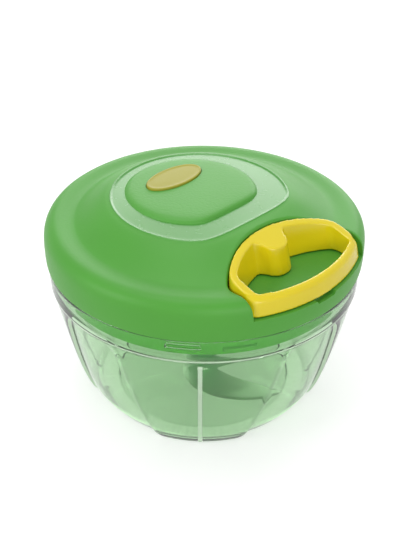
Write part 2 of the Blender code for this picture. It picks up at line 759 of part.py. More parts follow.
def make_lid_shell():
    top = [[(0.0, 0.0, DOME_Z)]] + dome_rings()
    inside = list(reversed(lid_rings(LID_T, LID_T)))
    inside = inside[:1] + inside[2:5] + inside[5:10:2] + inside[-1:]
    rings = top + lid_rings(0.0, 0.0) + inside + [[(0.0, 0.0, CEILING_Z)]]
    shell = loft("lid_shell", rings, LID_GREEN)
    space = lid_solid(LID_T / 2)
    wall = HANDLE_PLAY + POCKET_WALL
    pocket = slab("pocket_block", pocket_outline(wall), RECESS_Z - POCKET_FLOOR, DOME_Z,
                  cutter=True)
    pocket.data.transform(PULL)
    keep_inside(pocket, space)
    join(shell, pocket)
    for i, place in enumerate(screw_places()):
        boss = cylinder("screw_boss_%d" % i, SCREW_BOSS_R, BASE_TOP_Z + SEAT, DOME_Z, place,
                        cutter=True)
        keep_inside(boss, space)
        join(shell, boss)
    axle_boss = cylinder("axle_boss", LID_BOSS_R, LID_BOSS_Z, CREST_Z - LID_T / 2, cutter=True)
    join(shell, axle_boss)
    recess = slab("recess_cut", pocket_outline(HANDLE_PLAY), RECESS_Z, DOME_Z + DOME_RISE,
                  cutter=True)
    recess.data.transform(PULL)
    notch = box("finger_notch", (LID_EDGE_R - NOTCH_REACH, -NOTCH_W / 2, RECESS_Z - NOTCH_DEPTH),
                (LID_MAX_R + NOTCH_REACH, NOTCH_W / 2, DOME_Z), cutter=True)
    notch.data.transform(PULL)
    cut(shell, recess, notch)
    for i, place in enumerate(screw_places()):
        cut(shell, cylinder("screw_bore_%d" % i, SCREW_R + SEAT, BASE_Z,
                            BASE_Z + SCREW_LENGTH, place, steps=TINY_ROUND, cutter=True))
    cut(shell, cylinder("axle_bore", BORE_R, LID_BOSS_Z - SEAT, AXLE_TOP_Z + SEAT, cutter=True))
    cut(shell, pull_rod("guide_seat", GUIDE_BORE_R + GUIDE_BARREL_T + SEAT, BUSH_FLANGE_R * 2,
                        LOOP_NOSE))
    oval = slab("oval_seat", oval_outline(SEAT), oval_floor(), DOME_Z + DOME_RISE, cutter=True)
    cut(shell, oval)
    return shell


def oval_outline(grow=0.0):
    """The oval's plan on the dome, long side across the pull."""
    steps = SMALL_ROUND
    outline = []
    for i in range(steps):
        angle = 2 * math.pi * i / steps
        along = -OVAL_BACK + (OVAL_HALF_W + grow) * math.cos(angle)
        across = (OVAL_HALF_L + grow) * math.sin(angle)
        point = PULL @ Vector((along, across, 0.0))
        outline.append((point.x, point.y))
    return outline


def oval_floor():
    return DOME_Z - OVAL_SINK


def make_oval_insert():
    low = oval_floor() + SEAT
    insert = slab("oval_insert", oval_outline(), low, low + OVAL_T, PALE_YELLOW)
    soften(insert, OVAL_EDGE, 1)
    return insert


def make_lid_base():
    """Plate, skirt and lugs under the lid."""
    outer = LID_EDGE_R - LID_T - SEAT
    low = RIM_Z - SKIRT_DROP
    hole = HUB_R + RUN + BUSH_T + SEAT
    profile = [(outer, BASE_TOP_Z), (outer, BASE_Z), (SKIRT_R, BASE_Z), (SKIRT_R, low),
               (SKIRT_R - SKIRT_T, low), (SKIRT_R - SKIRT_T, BASE_Z), (hole, BASE_Z),
               (hole, BASE_TOP_Z)]
    base = turned("lid_base", profile, BASE_GREEN, closed=True)
    for i in range(LUGS):
        angle = BOWL_LUG_ANGLE + LOCK_TURN + 2 * math.pi * i / LUGS
        outline = sector(SKIRT_R - SKIRT_T / 2, RIM_IN_R - LUG_PLAY, angle, LUG_SPAN)
        top = RIM_Z - LUG_DROP - LUG_H - SEAT
        join(base, slab("lid_lug_%d" % i, outline, top - LUG_H, top, cutter=True))
    for i, place in enumerate(screw_places()):
        cut(base, cylinder("base_hole_%d" % i, SCREW_R + SEAT, BASE_Z - SEAT,
                           BASE_TOP_Z + SEAT, place, steps=TINY_ROUND, cutter=True))
    return base


def make_screw(name, centre, radius, head_r, head_h, length, head_top):
    """A slotted pan-head screw, head down."""
    low = head_top - head_h
    tip = head_top + length
    bend = head_h / 2
    profile = [(0.0, tip), (radius / 2, tip), (radius, tip - radius), (radius, head_top),
               (head_r, head_top), (head_r, low + bend), (head_r - bend, low), (0.0, low)]
    screw = turned(name, profile, SCREW_STEEL, TINY_ROUND)
    slot = box(name + "_slot", (-head_r - SEAT, -SCREW_SLOT_W / 2, low - SEAT),
               (head_r + SEAT, SCREW_SLOT_W / 2, low + SCREW_SLOT_DEPTH), cutter=True)
    cut(screw, slot)
    screw.location = (centre[0], centre[1], 0.0)
    slot.location = screw.location
    return screw


def make_base_screws():
    for i, place in enumerate(screw_places()):
        make_screw("base_screw_%d" % (i + 1), place, SCREW_R, SCREW_HEAD_R, SCREW_HEAD_H,
                   SCREW_LENGTH - 3 * SEAT, BASE_Z - SEAT)


def make_output_bush():
    inner = HUB_R + RUN
    outer = inner + BUSH_T
    flange_low = BUSH_TOP_Z - BUSH_FLANGE_T
    profile = [(BUSH_FLANGE_R, BUSH_TOP_Z), (BUSH_FLANGE_R, flange_low), (outer, flange_low),
               (outer, BASE_Z), (inner, BASE_Z), (inner, BUSH_TOP_Z)]
    return turned("output_bush", profile, BRASS, SMALL_ROUND, closed=True)


def make_reel():
    """Cord drum, hollow for the spring, with the hub that runs in the bush."""
    drum_top = DRUM_Z + DRUM_W
    cup_r = DRUM_R - DRUM_T
    screw_bore = DRIVE_SCREW_R + SEAT
    web_z = REEL_Z - SEAT
    profile = [
        (FLANGE_R, REEL_TOP_Z), (FLANGE_R, drum_top), (DRUM_R, drum_top), (DRUM_R, DRUM_Z),
        (FLANGE_R, DRUM_Z), (FLANGE_R, REEL_Z), (HUB_R, REEL_Z), (HUB_R, HUB_Z),
        (0.0, HUB_Z), (0.0, DRUM_FLOOR_Z), (cup_r, DRUM_FLOOR_Z), (cup_r, REEL_TOP_Z),
    ]
    reel = turned("reel", profile, WHITE, MEDIUM_STEPS, closed=True)
    half = SPIGOT_W / 2
    join(reel, box("reel_spigot", (-half, -half, HUB_Z - SPIGOT_H), (half, half, web_z),
                   cutter=True))
    cut(reel, cylinder("reel_axle_bore", BORE_R, DRUM_FLOOR_Z - AXLE_SINK - SEAT,
                       REEL_TOP_Z, cutter=True))
    cut(reel, cylinder("reel_screw_bore", screw_bore, COUPLER_CEILING_Z,
                       COUPLER_CEILING_Z + DRIVE_SCREW_LENGTH, steps=TINY_ROUND, cutter=True))
    return reel


def make_reel_axle():
    low = DRUM_FLOOR_Z - AXLE_SINK
    profile = [(0.0, AXLE_TOP_Z), (AXLE_R, AXLE_TOP_Z), (AXLE_R, low), (0.0, low)]
    return turned("reel_axle", profile, STEEL, SMALL_ROUND)


def make_spring_arbor():
    low = DRUM_FLOOR_Z + SEAT
    high = LID_BOSS_Z - SEAT
    profile = [(ARBOR_R, high), (ARBOR_R, low), (BORE_R, low), (BORE_R, high)]
    return turned("spring_arbor", profile, GREY, SMALL_ROUND, closed=True)


def make_spring_cover():
    outer = DRUM_R - COVER_LAP
    inner = ARBOR_R + ARBOR_KEY
    profile = [(outer, COVER_Z + COVER_T), (outer, COVER_Z), (inner, COVER_Z),
               (inner, COVER_Z + COVER_T)]
    return turned("spring_cover", profile, GREY, MEDIUM_STEPS, closed=True)


def make_recoil_spring():
    """A flat strip wound in a spiral round the arbor."""
    inner = ARBOR_R + SEAT + SPRING_T
    outer = DRUM_R - DRUM_T - SEAT - SPRING_T
    count = round(SPRING_COILS * SPRING_STEPS)
    low = DRUM_FLOOR_Z + (COVER_Z - DRUM_FLOOR_Z - SPRING_H) / 2
    points = [polar(inner + (outer - inner) * i / count, 2 * math.pi * i / SPRING_STEPS)
              for i in range(count + 1)]
    work = bmesh.new()
    rows = [[work.verts.new((x, y, z)) for x, y in points] for z in (low, low + SPRING_H)]
    for i in range(count):
        work.faces.new((rows[0][i], rows[0][i + 1], rows[1][i + 1], rows[1][i]))
    mesh = bpy.data.meshes.new("recoil_spring")
    work.to_mesh(mesh)
    work.free()
    spring = add_object("recoil_spring", mesh, SPRING_STEEL)
    solid = spring.modifiers.new("strip", "SOLIDIFY")
    solid.thickness = SPRING_T
    solid.offset = 0.0
    return spring


def tangent_angle():
    """Where the cord leaves the drum for the guide's mouth."""
    return -math.acos(WIND_R / guide_mouth())


def guide_mouth():
    return guide_flange() - 2 * CORD_R


def guide_flange():
    return LOOP_NOSE - HANDLE_PLAY - POCKET_WALL - SEAT - GUIDE_FLANGE_T


def smooth_route(points, per_span):
    """Points along a smooth curve through the given ones."""
    route = [Vector(p) for p in points]
    ends = [route[0] * 2 - route[1]] + route + [route[-1] * 2 - route[-2]]
    result = []
    for i in range(1, len(ends) - 2):
        a, b, c, d = ends[i - 1:i + 3]
        for k in range(per_span):
            t = k / per_span
            result.append(0.5 * (2 * b + (c - a) * t + (2 * a - 5 * b + 4 * c - d) * t ** 2
                                 + (3 * b - a - 3 * c + d) * t ** 3))
    return result + [route[-1]]


def tube(name, points, material, radius=CORD_R, resolution=1):
    """A cord along the points."""
    curve = bpy.data.curves.new(name, "CURVE")
    curve.dimensions = "3D"
    curve.bevel_depth = radius
    curve.bevel_resolution = resolution
    curve.use_fill_caps = True
    spline = curve.splines.new("POLY")
    spline.points.add(len(points[1:]))
    for point, place in zip(spline.points, points):
        point.co = (*place, 1.0)
    curve.materials.append(material)
    cord = bpy.data.objects.new(name, curve)
    PARTS.objects.link(cord)
    return cord


def winding_points():
    """The wound cord, from where it leaves the drum back to its inner end."""
    start = tangent_angle()
    top = CORD_Z
    count = round(CORD_TURNS * TURN_STEPS)
    turns = []
    for i in range(count + 1):
        turn = CORD_TURNS * i / count
        x, y = polar(WIND_R, start - 2 * math.pi * turn)
        turns.append(Vector((x, y, top - CORD_PITCH * turn)))
    lead_in = turns[0] + (turns[0] - turns[1]).normalized() * 2 * CORD_R
    lead_out = turns[-1] + (turns[-1] - turns[-2]).normalized() * 2 * CORD_R
    return [lead_in] + turns + [lead_out]


def least_self_gap(points, radius, skip):
    """The least gap between a tube's surface and its own later turns."""
    least = min((a - b).length for i, a in enumerate(points) for b in points[i + skip:])
    return least - 2 * radius


def make_cord_winding():
    points = winding_points()
    gap = least_self_gap(points, CORD_R, TURN_STEPS // 2)
    print("cord winding: least gap to itself %.2f mm" % (gap / MM))
    return tube("cord_winding", [PULL @ p for p in points], CORD_WHITE)


def make_pull_cord():
    """The cord from the drum through the guide and the handle's wall to its knot."""
    start = winding_points()[0]
    mouth = Vector((guide_mouth(), 0.0, CORD_Z))
    along = (mouth - start).normalized()
    first = start + along * SEAT
    near = start.lerp(mouth, LEAD_SHARE)
    inside = Vector((guide_flange() + CORD_R, 0.0, CORD_Z))
    out = Vector((LOOP_NOSE, 0.0, CORD_Z))
    end = Vector((knot_place() - KNOT_R - SEAT, 0.0, CORD_Z))
    route = smooth_route([first, near, inside, out, end], SPAN_STEPS)
    return tube("pull_cord", [PULL @ p for p in route], CORD_WHITE, resolution=2)


def make_cord_guide():
    """A flanged eyelet in the pocket's wall."""
    low = guide_flange()
    high = LOOP_NOSE - HANDLE_PLAY - SEAT
    barrel = GUIDE_BORE_R + GUIDE_BARREL_T
    seat = low + GUIDE_FLANGE_T
    profile = [(barrel, high), (barrel, seat), (GUIDE_FLANGE_R, seat), (GUIDE_FLANGE_R, low),
               (GUIDE_MOUTH_R, low), (GUIDE_BORE_R, seat), (GUIDE_BORE_R, high)]
    guide = turned("cord_guide", profile, BRASS, SMALL_ROUND, closed=True)
    guide.matrix_world = (Matrix.Translation((0.0, 0.0, CORD_Z)) @ PULL
                          @ Matrix.Rotation(math.pi / 2, 4, "Y"))
    return guide


def pocket_place():
    """The knot pocket's axis, along the pull."""
    return LOOP_NOSE + BOSS_REACH - BOSS_W / 2 - 2 * EDGE_R


def pocket_radius():
    return KNOT_R + 2 * SEAT


def knot_place():
    return pocket_place() - pocket_radius() + SEAT + KNOT_R


def make_handle():
    """Finger loop with the boss that holds the cord's knot."""
    handle = upright_loft("handle", handle_outer, 0.0, NOSE_H + LOOP_T, YELLOW)
    window = upright_loft("handle_window", handle_inner, -LOOP_T, NOSE_H + NOSE_T, cutter=True)
    cut(handle, window)
    boss = upright_loft("handle_boss", boss_outline, 0.0, NOSE_H + BAR_T, cutter=True)
    join(handle, boss)
    top = HANDLE_Z + NOSE_H
    above = top + NOSE_T
    slope = [(LOOP_NOSE - LOOP_T, top), (LOOP_NOSE + EDGE_R, top),
             (BAR_R - BAR_LEVEL_W, HANDLE_Z + BAR_H), (LID_MAX_R, HANDLE_Z + BAR_H),
             (LID_MAX_R, above), (LOOP_NOSE - LOOP_T, above)]
    lower = slab("handle_slope", slope, -LID_MAX_R, LID_MAX_R, cutter=True)
    lower.data.transform(Matrix.Rotation(math.pi / 2, 4, "X"))
    cut(handle, lower)
    soften(handle, EDGE_R)
    knot_pocket = cylinder("knot_pocket", pocket_radius(), HANDLE_Z - SEAT,
                           CORD_Z + KNOT_R + 2 * SEAT, (pocket_place(), 0.0), cutter=True)
    cord_bore = cylinder("cord_bore", GUIDE_BORE_R, LOOP_NOSE - LOOP_T, pocket_place(),
                         steps=TINY_ROUND, cutter=True)
    cord_bore.data.transform(Matrix.Rotation(math.pi / 2, 4, "Y"))
    cord_bore.data.transform(Matrix.Translation((0.0, 0.0, CORD_Z)))
    cut(handle, knot_pocket, cord_bore)
    for piece in (handle, window, boss, lower, knot_pocket, cord_bore):
        piece.matrix_world = PULL
    return handle


def make_cord_knot():
    work = bmesh.new()
    bmesh.ops.create_uvsphere(work, u_segments=TINY_ROUND, v_segments=TINY_ROUND // 2,
                              radius=KNOT_R)
    place = PULL @ Vector((knot_place(), 0.0, CORD_Z))
    bmesh.ops.translate(work, vec=place, verts=work.verts)
    mesh = bpy.data.meshes.new("cord_knot")
    work.to_mesh(mesh)
    work.free()
    mesh.shade_smooth()
    return add_object("cord_knot", mesh, CORD_WHITE)


def dog_angles(offset):
    return [offset + 2 * math.pi * i / DOGS for i in range(DOGS)]


def make_drive_coupler():
    """The socket under the lid: its dogs push the stem's."""
    wall_in = DOG_R + LUG_PLAY
    outer = wall_in + COUPLER_WALL
    hole = DRIVE_SCREW_R + SEAT
    profile = [(outer, COUPLER_TOP_Z), (outer, COUPLER_Z), (wall_in, COUPLER_Z),
               (wall_in, COUPLER_CEILING_Z), (hole, COUPLER_CEILING_Z), (hole, COUPLER_TOP_Z)]
    coupler = turned("drive_coupler", profile, GREY, SMALL_ROUND, closed=True)
    clear = STEM_NECK_R + LUG_PLAY
    gap = SEAT / DOG_R
    for i, angle in enumerate(dog_angles(-DOG_SPAN - gap)):
        outline = sector(clear, wall_in + COUPLER_WALL / 2, angle, DOG_SPAN)
        join(coupler, slab("coupler_dog_%d" % i, outline, COUPLER_Z + SEAT,
                           COUPLER_CEILING_Z + COUPLER_DISC_T / 2, cutter=True))
    half = SPIGOT_W / 2 + SEAT
    cut(coupler, box("coupler_socket", (-half, -half, HUB_Z - SPIGOT_H - SEAT),
                     (half, half, COUPLER_TOP_Z + SEAT), cutter=True))
    return coupler


def make_coupler_screw():
    return make_screw("coupler_screw", (0.0, 0.0), DRIVE_SCREW_R, DRIVE_SCREW_HEAD_R,
                      DRIVE_SCREW_HEAD_H, DRIVE_SCREW_LENGTH - 2 * SEAT,
                      COUPLER_CEILING_Z - SEAT)


def blade_heights():
    return [BLADE_FIRST_Z + BLADE_STEP * i for i in range(BLADES)]


def make_blade_stem():
    """The stem, with a groove for each blade's ring and dogs at its top."""
    bore = PIN_R + RUN + PIVOT_BUSH_T + SEAT
    pin_bore = PIN_R + RUN
    bush_top = STEM_Z + PIVOT_BUSH_H + SEAT
    pin_top = PIN_BOSS_Z + PIN_H + 2 * SEAT
    hub_top = STEM_Z + STEM_HUB_H
    groove = BLADE_T / 2 + SEAT
    profile = [(0.0, STEM_TOP_Z), (STEM_NECK_R, STEM_TOP_Z),
               (STEM_NECK_R, hub_top + STEM_FLARE), (STEM_R, hub_top)]
    for z in reversed(blade_heights()):
        profile += [(STEM_R, z + groove), (STEM_CORE_R, z + groove),
                    (STEM_CORE_R, z - groove), (STEM_R, z - groove)]
    profile += [(STEM_R, STEM_Z), (bore, STEM_Z), (bore, bush_top), (pin_bore, bush_top),
                (pin_bore, pin_top), (0.0, pin_top)]
    stem = turned("blade_stem", profile, STEM_GREEN, SMALL_ROUND)
    for i, angle in enumerate(dog_angles(0.0)):
        outline = sector(STEM_NECK_R / 2, DOG_R, angle, DOG_SPAN)
        join(stem, slab("stem_dog_%d" % i, outline, STEM_TOP_Z - DOG_LAP, STEM_TOP_Z,
                        cutter=True))
    return stem


def make_pivot_bush():
    inner = PIN_R + RUN
    outer = inner + PIVOT_BUSH_T
    low = STEM_Z + SEAT
    high = STEM_Z + PIVOT_BUSH_H
    profile = [(outer, high), (outer, low), (inner, low), (inner, high)]
    return turned("pivot_bush", profile, BRASS, SMALL_ROUND, closed=True)


def blade_outline(tip_angle):
    """A swept blade: a spiral cutting edge out to the tip and a steeper back edge."""
    inner = STEM_CORE_R + SEAT + BLADE_RING_W
    edge = []
    for i in range(ARC_STEPS + 1):
        t = i / ARC_STEPS
        edge.append(polar(inner + (BLADE_TIP_R - inner) * t, tip_angle - BLADE_SWEEP * (1 - t)))
    back = []
    for i in range(1, ARC_STEPS + 1):
        t = 1 - i / ARC_STEPS
        back.append(polar(inner + (BLADE_TIP_R - inner) * t,
                          tip_angle - BLADE_BACK_SWEEP * (1 - t) ** 2))
    start = tip_angle - BLADE_BACK_SWEEP
    end = tip_angle - BLADE_SWEEP + 2 * math.pi
    return edge + back + arc((0.0, 0.0), inner, start, end, TINY_ROUND)[1:-1]


def make_blades():
    names = ("blade_lower", "blade_middle", "blade_upper")
    for i, (name, z) in enumerate(zip(names, blade_heights())):
        angle = BLADE_TIP_ANGLE + 2 * math.pi * i / BLADES
        blade = slab(name, blade_outline(angle), z - BLADE_T / 2, z + BLADE_T / 2, STEEL)
        cut(blade, cylinder(name + "_bore", STEM_CORE_R + SEAT, z - BLADE_T, z + BLADE_T,
                            cutter=True))


def parent_group(name, place, names):
    """An empty on a joint's axis that carries the pieces moving about it."""
    empty = bpy.data.objects.new(name, None)
    PARTS.objects.link(empty)
    empty.location = place
    bpy.context.view_layer.update()
    for child in names:
        piece = bpy.data.objects[child]
        piece.parent = empty
        piece.matrix_parent_inverse = empty.matrix_world.inverted()
    return empty


def main():
    make_bowl()
    make_bowl_pin()
    make_seal()
    make_lid_shell()
    make_oval_insert()
    make_lid_base()
    make_base_screws()
    make_output_bush()
    make_cord_guide()
    make_reel_axle()
    make_spring_arbor()
    make_recoil_spring()
    make_reel()
    make_spring_cover()
    make_cord_winding()
    make_drive_coupler()
    make_coupler_screw()
    make_handle()
    make_cord_knot()
    make_pull_cord()
    make_blade_stem()
    make_pivot_bush()
    make_blades()
    parent_group("lid_axis", (0.0, 0.0, RIM_Z), [
        "lid_shell", "oval_insert", "lid_base", "base_screw_1", "base_screw_2", "base_screw_3",
        "output_bush", "cord_guide", "reel_axle", "spring_arbor", "recoil_spring"])
    parent_group("reel_axis", (0.0, 0.0, REEL_Z), [
        "reel", "spring_cover", "cord_winding", "drive_coupler", "coupler_screw"])
    parent_group("pull_axis", (0.0, 0.0, CORD_Z), ["handle", "cord_knot", "pull_cord"])
    parent_group("blade_axis", (0.0, 0.0, STEM_Z), [
        "blade_stem", "pivot_bush", "blade_lower", "blade_middle", "blade_upper"])
    for piece in PARTS.objects:
        if piece.type == "MESH" and len(piece.data.polygons):
            shade(piece.data)


main()
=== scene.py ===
import math

import bmesh
import bpy
from mathutils import Matrix, Vector
from mathutils.bvhtree import BVHTree


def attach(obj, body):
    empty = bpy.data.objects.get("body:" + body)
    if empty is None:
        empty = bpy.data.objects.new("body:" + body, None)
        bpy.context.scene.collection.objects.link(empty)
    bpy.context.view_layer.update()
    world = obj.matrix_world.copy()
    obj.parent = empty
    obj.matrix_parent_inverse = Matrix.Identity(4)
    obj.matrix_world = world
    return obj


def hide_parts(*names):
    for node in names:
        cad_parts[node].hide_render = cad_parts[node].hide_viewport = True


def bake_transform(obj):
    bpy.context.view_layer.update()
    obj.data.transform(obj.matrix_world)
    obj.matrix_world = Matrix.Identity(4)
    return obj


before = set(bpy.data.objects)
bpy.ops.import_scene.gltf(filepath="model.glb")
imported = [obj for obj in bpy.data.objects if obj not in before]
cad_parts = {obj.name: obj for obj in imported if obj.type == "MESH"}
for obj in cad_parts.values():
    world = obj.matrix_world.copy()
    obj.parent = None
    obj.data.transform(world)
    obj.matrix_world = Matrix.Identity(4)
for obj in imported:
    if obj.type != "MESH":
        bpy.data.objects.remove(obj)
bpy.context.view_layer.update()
MM = 0.001
PULL_ANGLE = math.radians(-45.0)
PULL = Matrix.Rotation(PULL_ANGLE, 4, "Z")


# Bowl: as in the solids, but for the windows' step and their deeper foot
FOOT_R, FOOT_RING_R, WALL_H, WALL_TOP_R = 46.3 * MM, 38.0 * MM, 54.8 * MM, 63.7 * MM
WALL_BULGE, WALL_T, BAND_R, LEDGE = 0.6, 2.6 * MM, 64.2 * MM, 0.8 * MM
RIM_Z, RIM_IN_R = 65.0 * MM, 61.6 * MM
WINDOW_DEPTH, WINDOW_HALF_W, WINDOW_R, WINDOW_FLARE = 1.2 * MM, 15.3 * MM, 13.7 * MM, 4.5 * MM
WINDOW_SHOULDER_Z, WINDOW_STOP_Z, WINDOW_STOP_ROUND = 43.6 * MM, 54.4 * MM, 0.9 * MM
WINDOW_STEP, WINDOW_FOOT_DEPTH, WINDOW_FOOT_H = 0.9 * MM, 1.2 * MM, 10.0 * MM
PANEL_ANGLE = math.radians(-91.0)
RIB_W, RIB_PROUD, RIB_TOP_Z, RIB_RUN_OUT = 1.6 * MM, 0.5 * MM, 52.8 * MM, 1.4 * MM
FLOOR_Z, FLOOR_FILLET, BOSS_Z, BOSS_R = 3.2 * MM, 5.0 * MM, 6.1 * MM, 6.0 * MM
BOSS_FILLET, PIN_SEAT_R, PIN_SEAT_DEPTH = 1.5 * MM, 2.2 * MM, 3.2 * MM
LUG_SPAN, BOWL_LUG_ANGLE, LOCK_TURN = math.radians(12.0), math.radians(-97.0), math.radians(20.0)
BOWL_LUG_Z, LID_LUG_Z, LUG_H, LUG_PLAY = 60.0 * MM, 58.3 * MM, 1.4 * MM, 0.4 * MM

# Lid's plate and skirt, as in the solids
SKIRT_R, SKIRT_IN_R, SKIRT_LOW_Z, BASE_Z, BASE_TOP_Z = (60.0 * MM, 58.0 * MM, 56.4 * MM,
                                                        66.4 * MM, 68.4 * MM)
BASE_R, BASE_HOLE_R, SCREW_CIRCLE_R, SCREW_HOLE_R = 62.7 * MM, 8.3 * MM, 50.0 * MM, 1.6 * MM

# Lid: as in the solids, but for the pocket's closer gap and its rounded edge
LID_EDGE_Z, RECESS_Z, VALLEY_Z, CREST_Z, DOME_Z = (65.3 * MM, 73.4 * MM, 81.2 * MM, 89.5 * MM,
                                                   91.1 * MM)
LID_MAX_R, VALLEY_R, LID_T, LIP, DOME_RISE = 65.4 * MM, 53.2 * MM, 2.0 * MM, 0.4 * MM, 2.0 * MM
RING_Z = CREST_Z - LIP
CEILING_Z = RING_Z - LID_T
PLATEAU = (36.2 * MM, 3.0 * MM, 25.9 * MM)
DOME = (27.0 * MM, 8.0 * MM, 15.0 * MM)
FLAT_CORNER = 14
PLAY, POCKET_WALL, POCKET_GAP, POCKET_ROUND = 0.9 * MM, 1.8 * MM, 0.45 * MM, 0.8 * MM
POCKET_CORNER_R, GUIDE_SEAT_R, GUIDE_SEAT_START = 8.0 * MM, 2.7 * MM, 19.2 * MM
AXLE_BOSS_R, AXLE_BORE_R, SCREW_BOSS_R = 5.5 * MM, 2.3 * MM, 3.8 * MM
NOTCH_IN, NOTCH_OUT, NOTCH_HALF_W = 61.0 * MM, 70.0 * MM, 4.5 * MM
NOTCH_LEAN_IN, NOTCH_LEAN_SIDE = 1.2 * MM, 1.4 * MM
OVAL_BACK, OVAL_HALF_L, OVAL_HALF_W, OVAL_LOW_Z = 18.0 * MM, 14.0 * MM, 7.0 * MM, 90.2 * MM
SEAT = 0.3 * MM

# Handle and cord: as in the solids, but for the bar's rounded top and the boss's softer corner
HANDLE_Z, NOSE, ARC_R, HALF_W, BAR_R = 73.7 * MM, 30.6 * MM, 43.0 * MM, 31.2 * MM, 64.2 * MM
LOOP_T, NOSE_T, BAR_T, NOSE_H, BAR_H = 4.5 * MM, 6.6 * MM, 4.2 * MM, 13.9 * MM, 7.3 * MM
BAR_LEVEL_W, BOSS_W, BOSS_REACH, BAR_ROUND = 8.2 * MM, 12.4 * MM, 14.4 * MM, 2.0 * MM
BOSS_CORNER_R, BOSS_SIDE_FILLET, BOSS_FOOT = 5.3 * MM, 6.0 * MM, 0.9 * MM
BAR_LEAN, ARM_LEAN, NOSE_LEAN = 0.2, 0.12, 0.27
CORD_Z, CORD_R, CORD_PITCH, CORD_TURNS, WIND_R = 79.1 * MM, 0.75 * MM, 1.95 * MM, 3.4, 20.25 * MM
CORD_STRANDS, STRAND_DEPTH, STRAND_TWIST = 5, 0.16, 2600.0
GUIDE_FLANGE, KNOT_PLACE, KNOT_R = 26.4 * MM, 36.7 * MM, 2.4 * MM
KNOT_POCKET_X, KNOT_PLAY, CORD_BORE_R = 37.0 * MM, 0.6 * MM, 1.2 * MM

# Blades and stem, as in the solids
BLADE_LEVELS, BLADE_ANGLE = (11.0 * MM, 23.0 * MM, 35.0 * MM), math.radians(-40.0)
BLADE_BORE_R, BLADE_RING_R, BLADE_REACH, BLADE_HALF_T = 5.5 * MM, 8.1 * MM, 43.5 * MM, 0.4 * MM
BLADE_SWEEP, BLADE_BACK_SWEEP, BLADE_GRIND_W = math.radians(108), math.radians(34), 2.2 * MM
STEM_TOP_Z, STEM_LOW_Z, STEM_R, NECK_R, CORE_R = 61.0 * MM, 6.4 * MM, 8.0 * MM, 5.0 * MM, 5.2 * MM
BUSH_SEAT_R, BUSH_SEAT_TOP_Z, PIN_BORE_R, PIN_BORE_TOP_Z = (3.7 * MM, 14.7 * MM, 2.2 * MM,
                                                            16.7 * MM)
DOG_IN_R, DOG_OUT_R, DOG_SPAN, DOG_H = 2.5 * MM, 8.4 * MM, math.radians(30), 3.2 * MM

# The photograph's camera: its height is in pixels, and so is the focal length
PHOTO_H, FOCAL_LENGTH = 545.0, 1017.69
CAMERA_RISE, CAMERA_ROLL, CAMERA_REACH = math.radians(33.70), math.radians(0.57), 0.430
CAMERA_TARGET = (0.0002, 0.0, 0.0527)
SENSOR_H = 36.0

# Studio: each lamp's place, target, size and power
LAMPS = {
    "top_box": ((-0.05, 0.05, 0.70), (0.0, 0.0, 0.05), (0.45, 0.40), 1.35),
    "back_box": ((0.18, 1.02, 0.46), (0.0, 0.0, 0.06), (1.1, 0.45), 5.4),
    "left_box": ((-0.85, -0.45, 0.50), (0.0, 0.0, 0.06), (0.4, 0.5), 3.1),
    "front_box": ((0.30, -0.90, 0.40), (0.0, 0.0, 0.05), (0.7, 0.4), 3.0),
}
FLOOR_SIZE, FLOOR_GREY, FLOOR_SEEN_GREY, WORLD_LIGHT = 6.0, 0.80, 0.62, 0.44
FLOOR_GLOW_NEAR, FLOOR_GLOW_START, FLOOR_GLOW_END = 0.56, 0.18, 1.0

# A ray that is still inside the clear bowl after this many turns goes straight on
TRAPPED_DEPTH = 6.5


def polar(radius, angle):
    return (radius * math.cos(angle), radius * math.sin(angle))


def arc(centre, radius, start, end, steps):
    return [(centre[0] + radius * math.cos(start + (end - start) * i / steps),
             centre[1] + radius * math.sin(start + (end - start) * i / steps))
            for i in range(steps + 1)]


def smooth(points, steps):
    """Points along a smooth curve through the given ones."""
    route = [Vector(p) for p in points]
    ends = [route[0] * 2 - route[1]] + route + [route[-1] * 2 - route[-2]]
    result = []
    for i in range(1, len(ends) - 2):
        a, b, c, d = ends[i - 1:i + 3]
        for k in range(steps):
            t = k / steps
            result.append(0.5 * (2 * b + (c - a) * t + (2 * a - 5 * b + 4 * c - d) * t ** 2
                                 + (3 * b - a - 3 * c + d) * t ** 3))
    return result + [route[-1]]


def ease(t):
    t = max(0.0, min(1.0, t))
    return t * t * (3 - 2 * t)


def skin(name, rings, bands=None, closed=False):
    """A mesh through rings of like point counts, where a single point closes an end."""
    points, starts, faces, marks = [], [], [], []
    for ring in rings:
        starts.append(len(points))
        points.extend(ring)
    pairs = list(zip(range(len(rings)), range(1, len(rings))))
    if closed:
        pairs.append((len(rings) - 1, 0))
    for a, b in pairs:
        upper, lower = starts[a], starts[b]
        count = max(len(rings[a]), len(rings[b]))
        for i in range(count):
            j = (i + 1) % count
            if len(rings[a]) == 1:
                faces.append((upper, lower + i, lower + j))
            elif len(rings[b]) == 1:
                faces.append((upper + j, upper + i, lower))
            else:
                faces.append((upper + i, lower + i, lower + j, upper + j))
            marks.append(bands[a] if bands else 0)
    mesh = bpy.data.meshes.new(name)
    mesh.from_pydata([tuple(p) for p in points], [], faces)
    mesh.polygons.foreach_set("material_index", marks)
    return faced_out(mesh)


def faced_out(mesh):
    work = bmesh.new()
    work.from_mesh(mesh)
    bmesh.ops.recalc_face_normals(work, faces=work.faces)
    work.to_mesh(mesh)
    work.free()
    return mesh


def walls(name, points, count):
    """A body through outlines of count points each, one above another."""
    last = len(points) - count
    faces = [tuple(range(count)), tuple(range(last, last + count))]
    for row in range(0, last, count):
        faces += [(row + i, row + (i + 1) % count, row + count + (i + 1) % count, row + count + i)
                  for i in range(count)]
    mesh = bpy.data.meshes.new(name)
    mesh.from_pydata(points, [], faces)
    return faced_out(mesh)


def stack(name, outlines, heights):
    """A body through outlines of like point counts at their heights."""
    return walls(name, [(x, y, z) for outline, z in zip(outlines, heights) for x, y in outline],
                 len(outlines[0]))


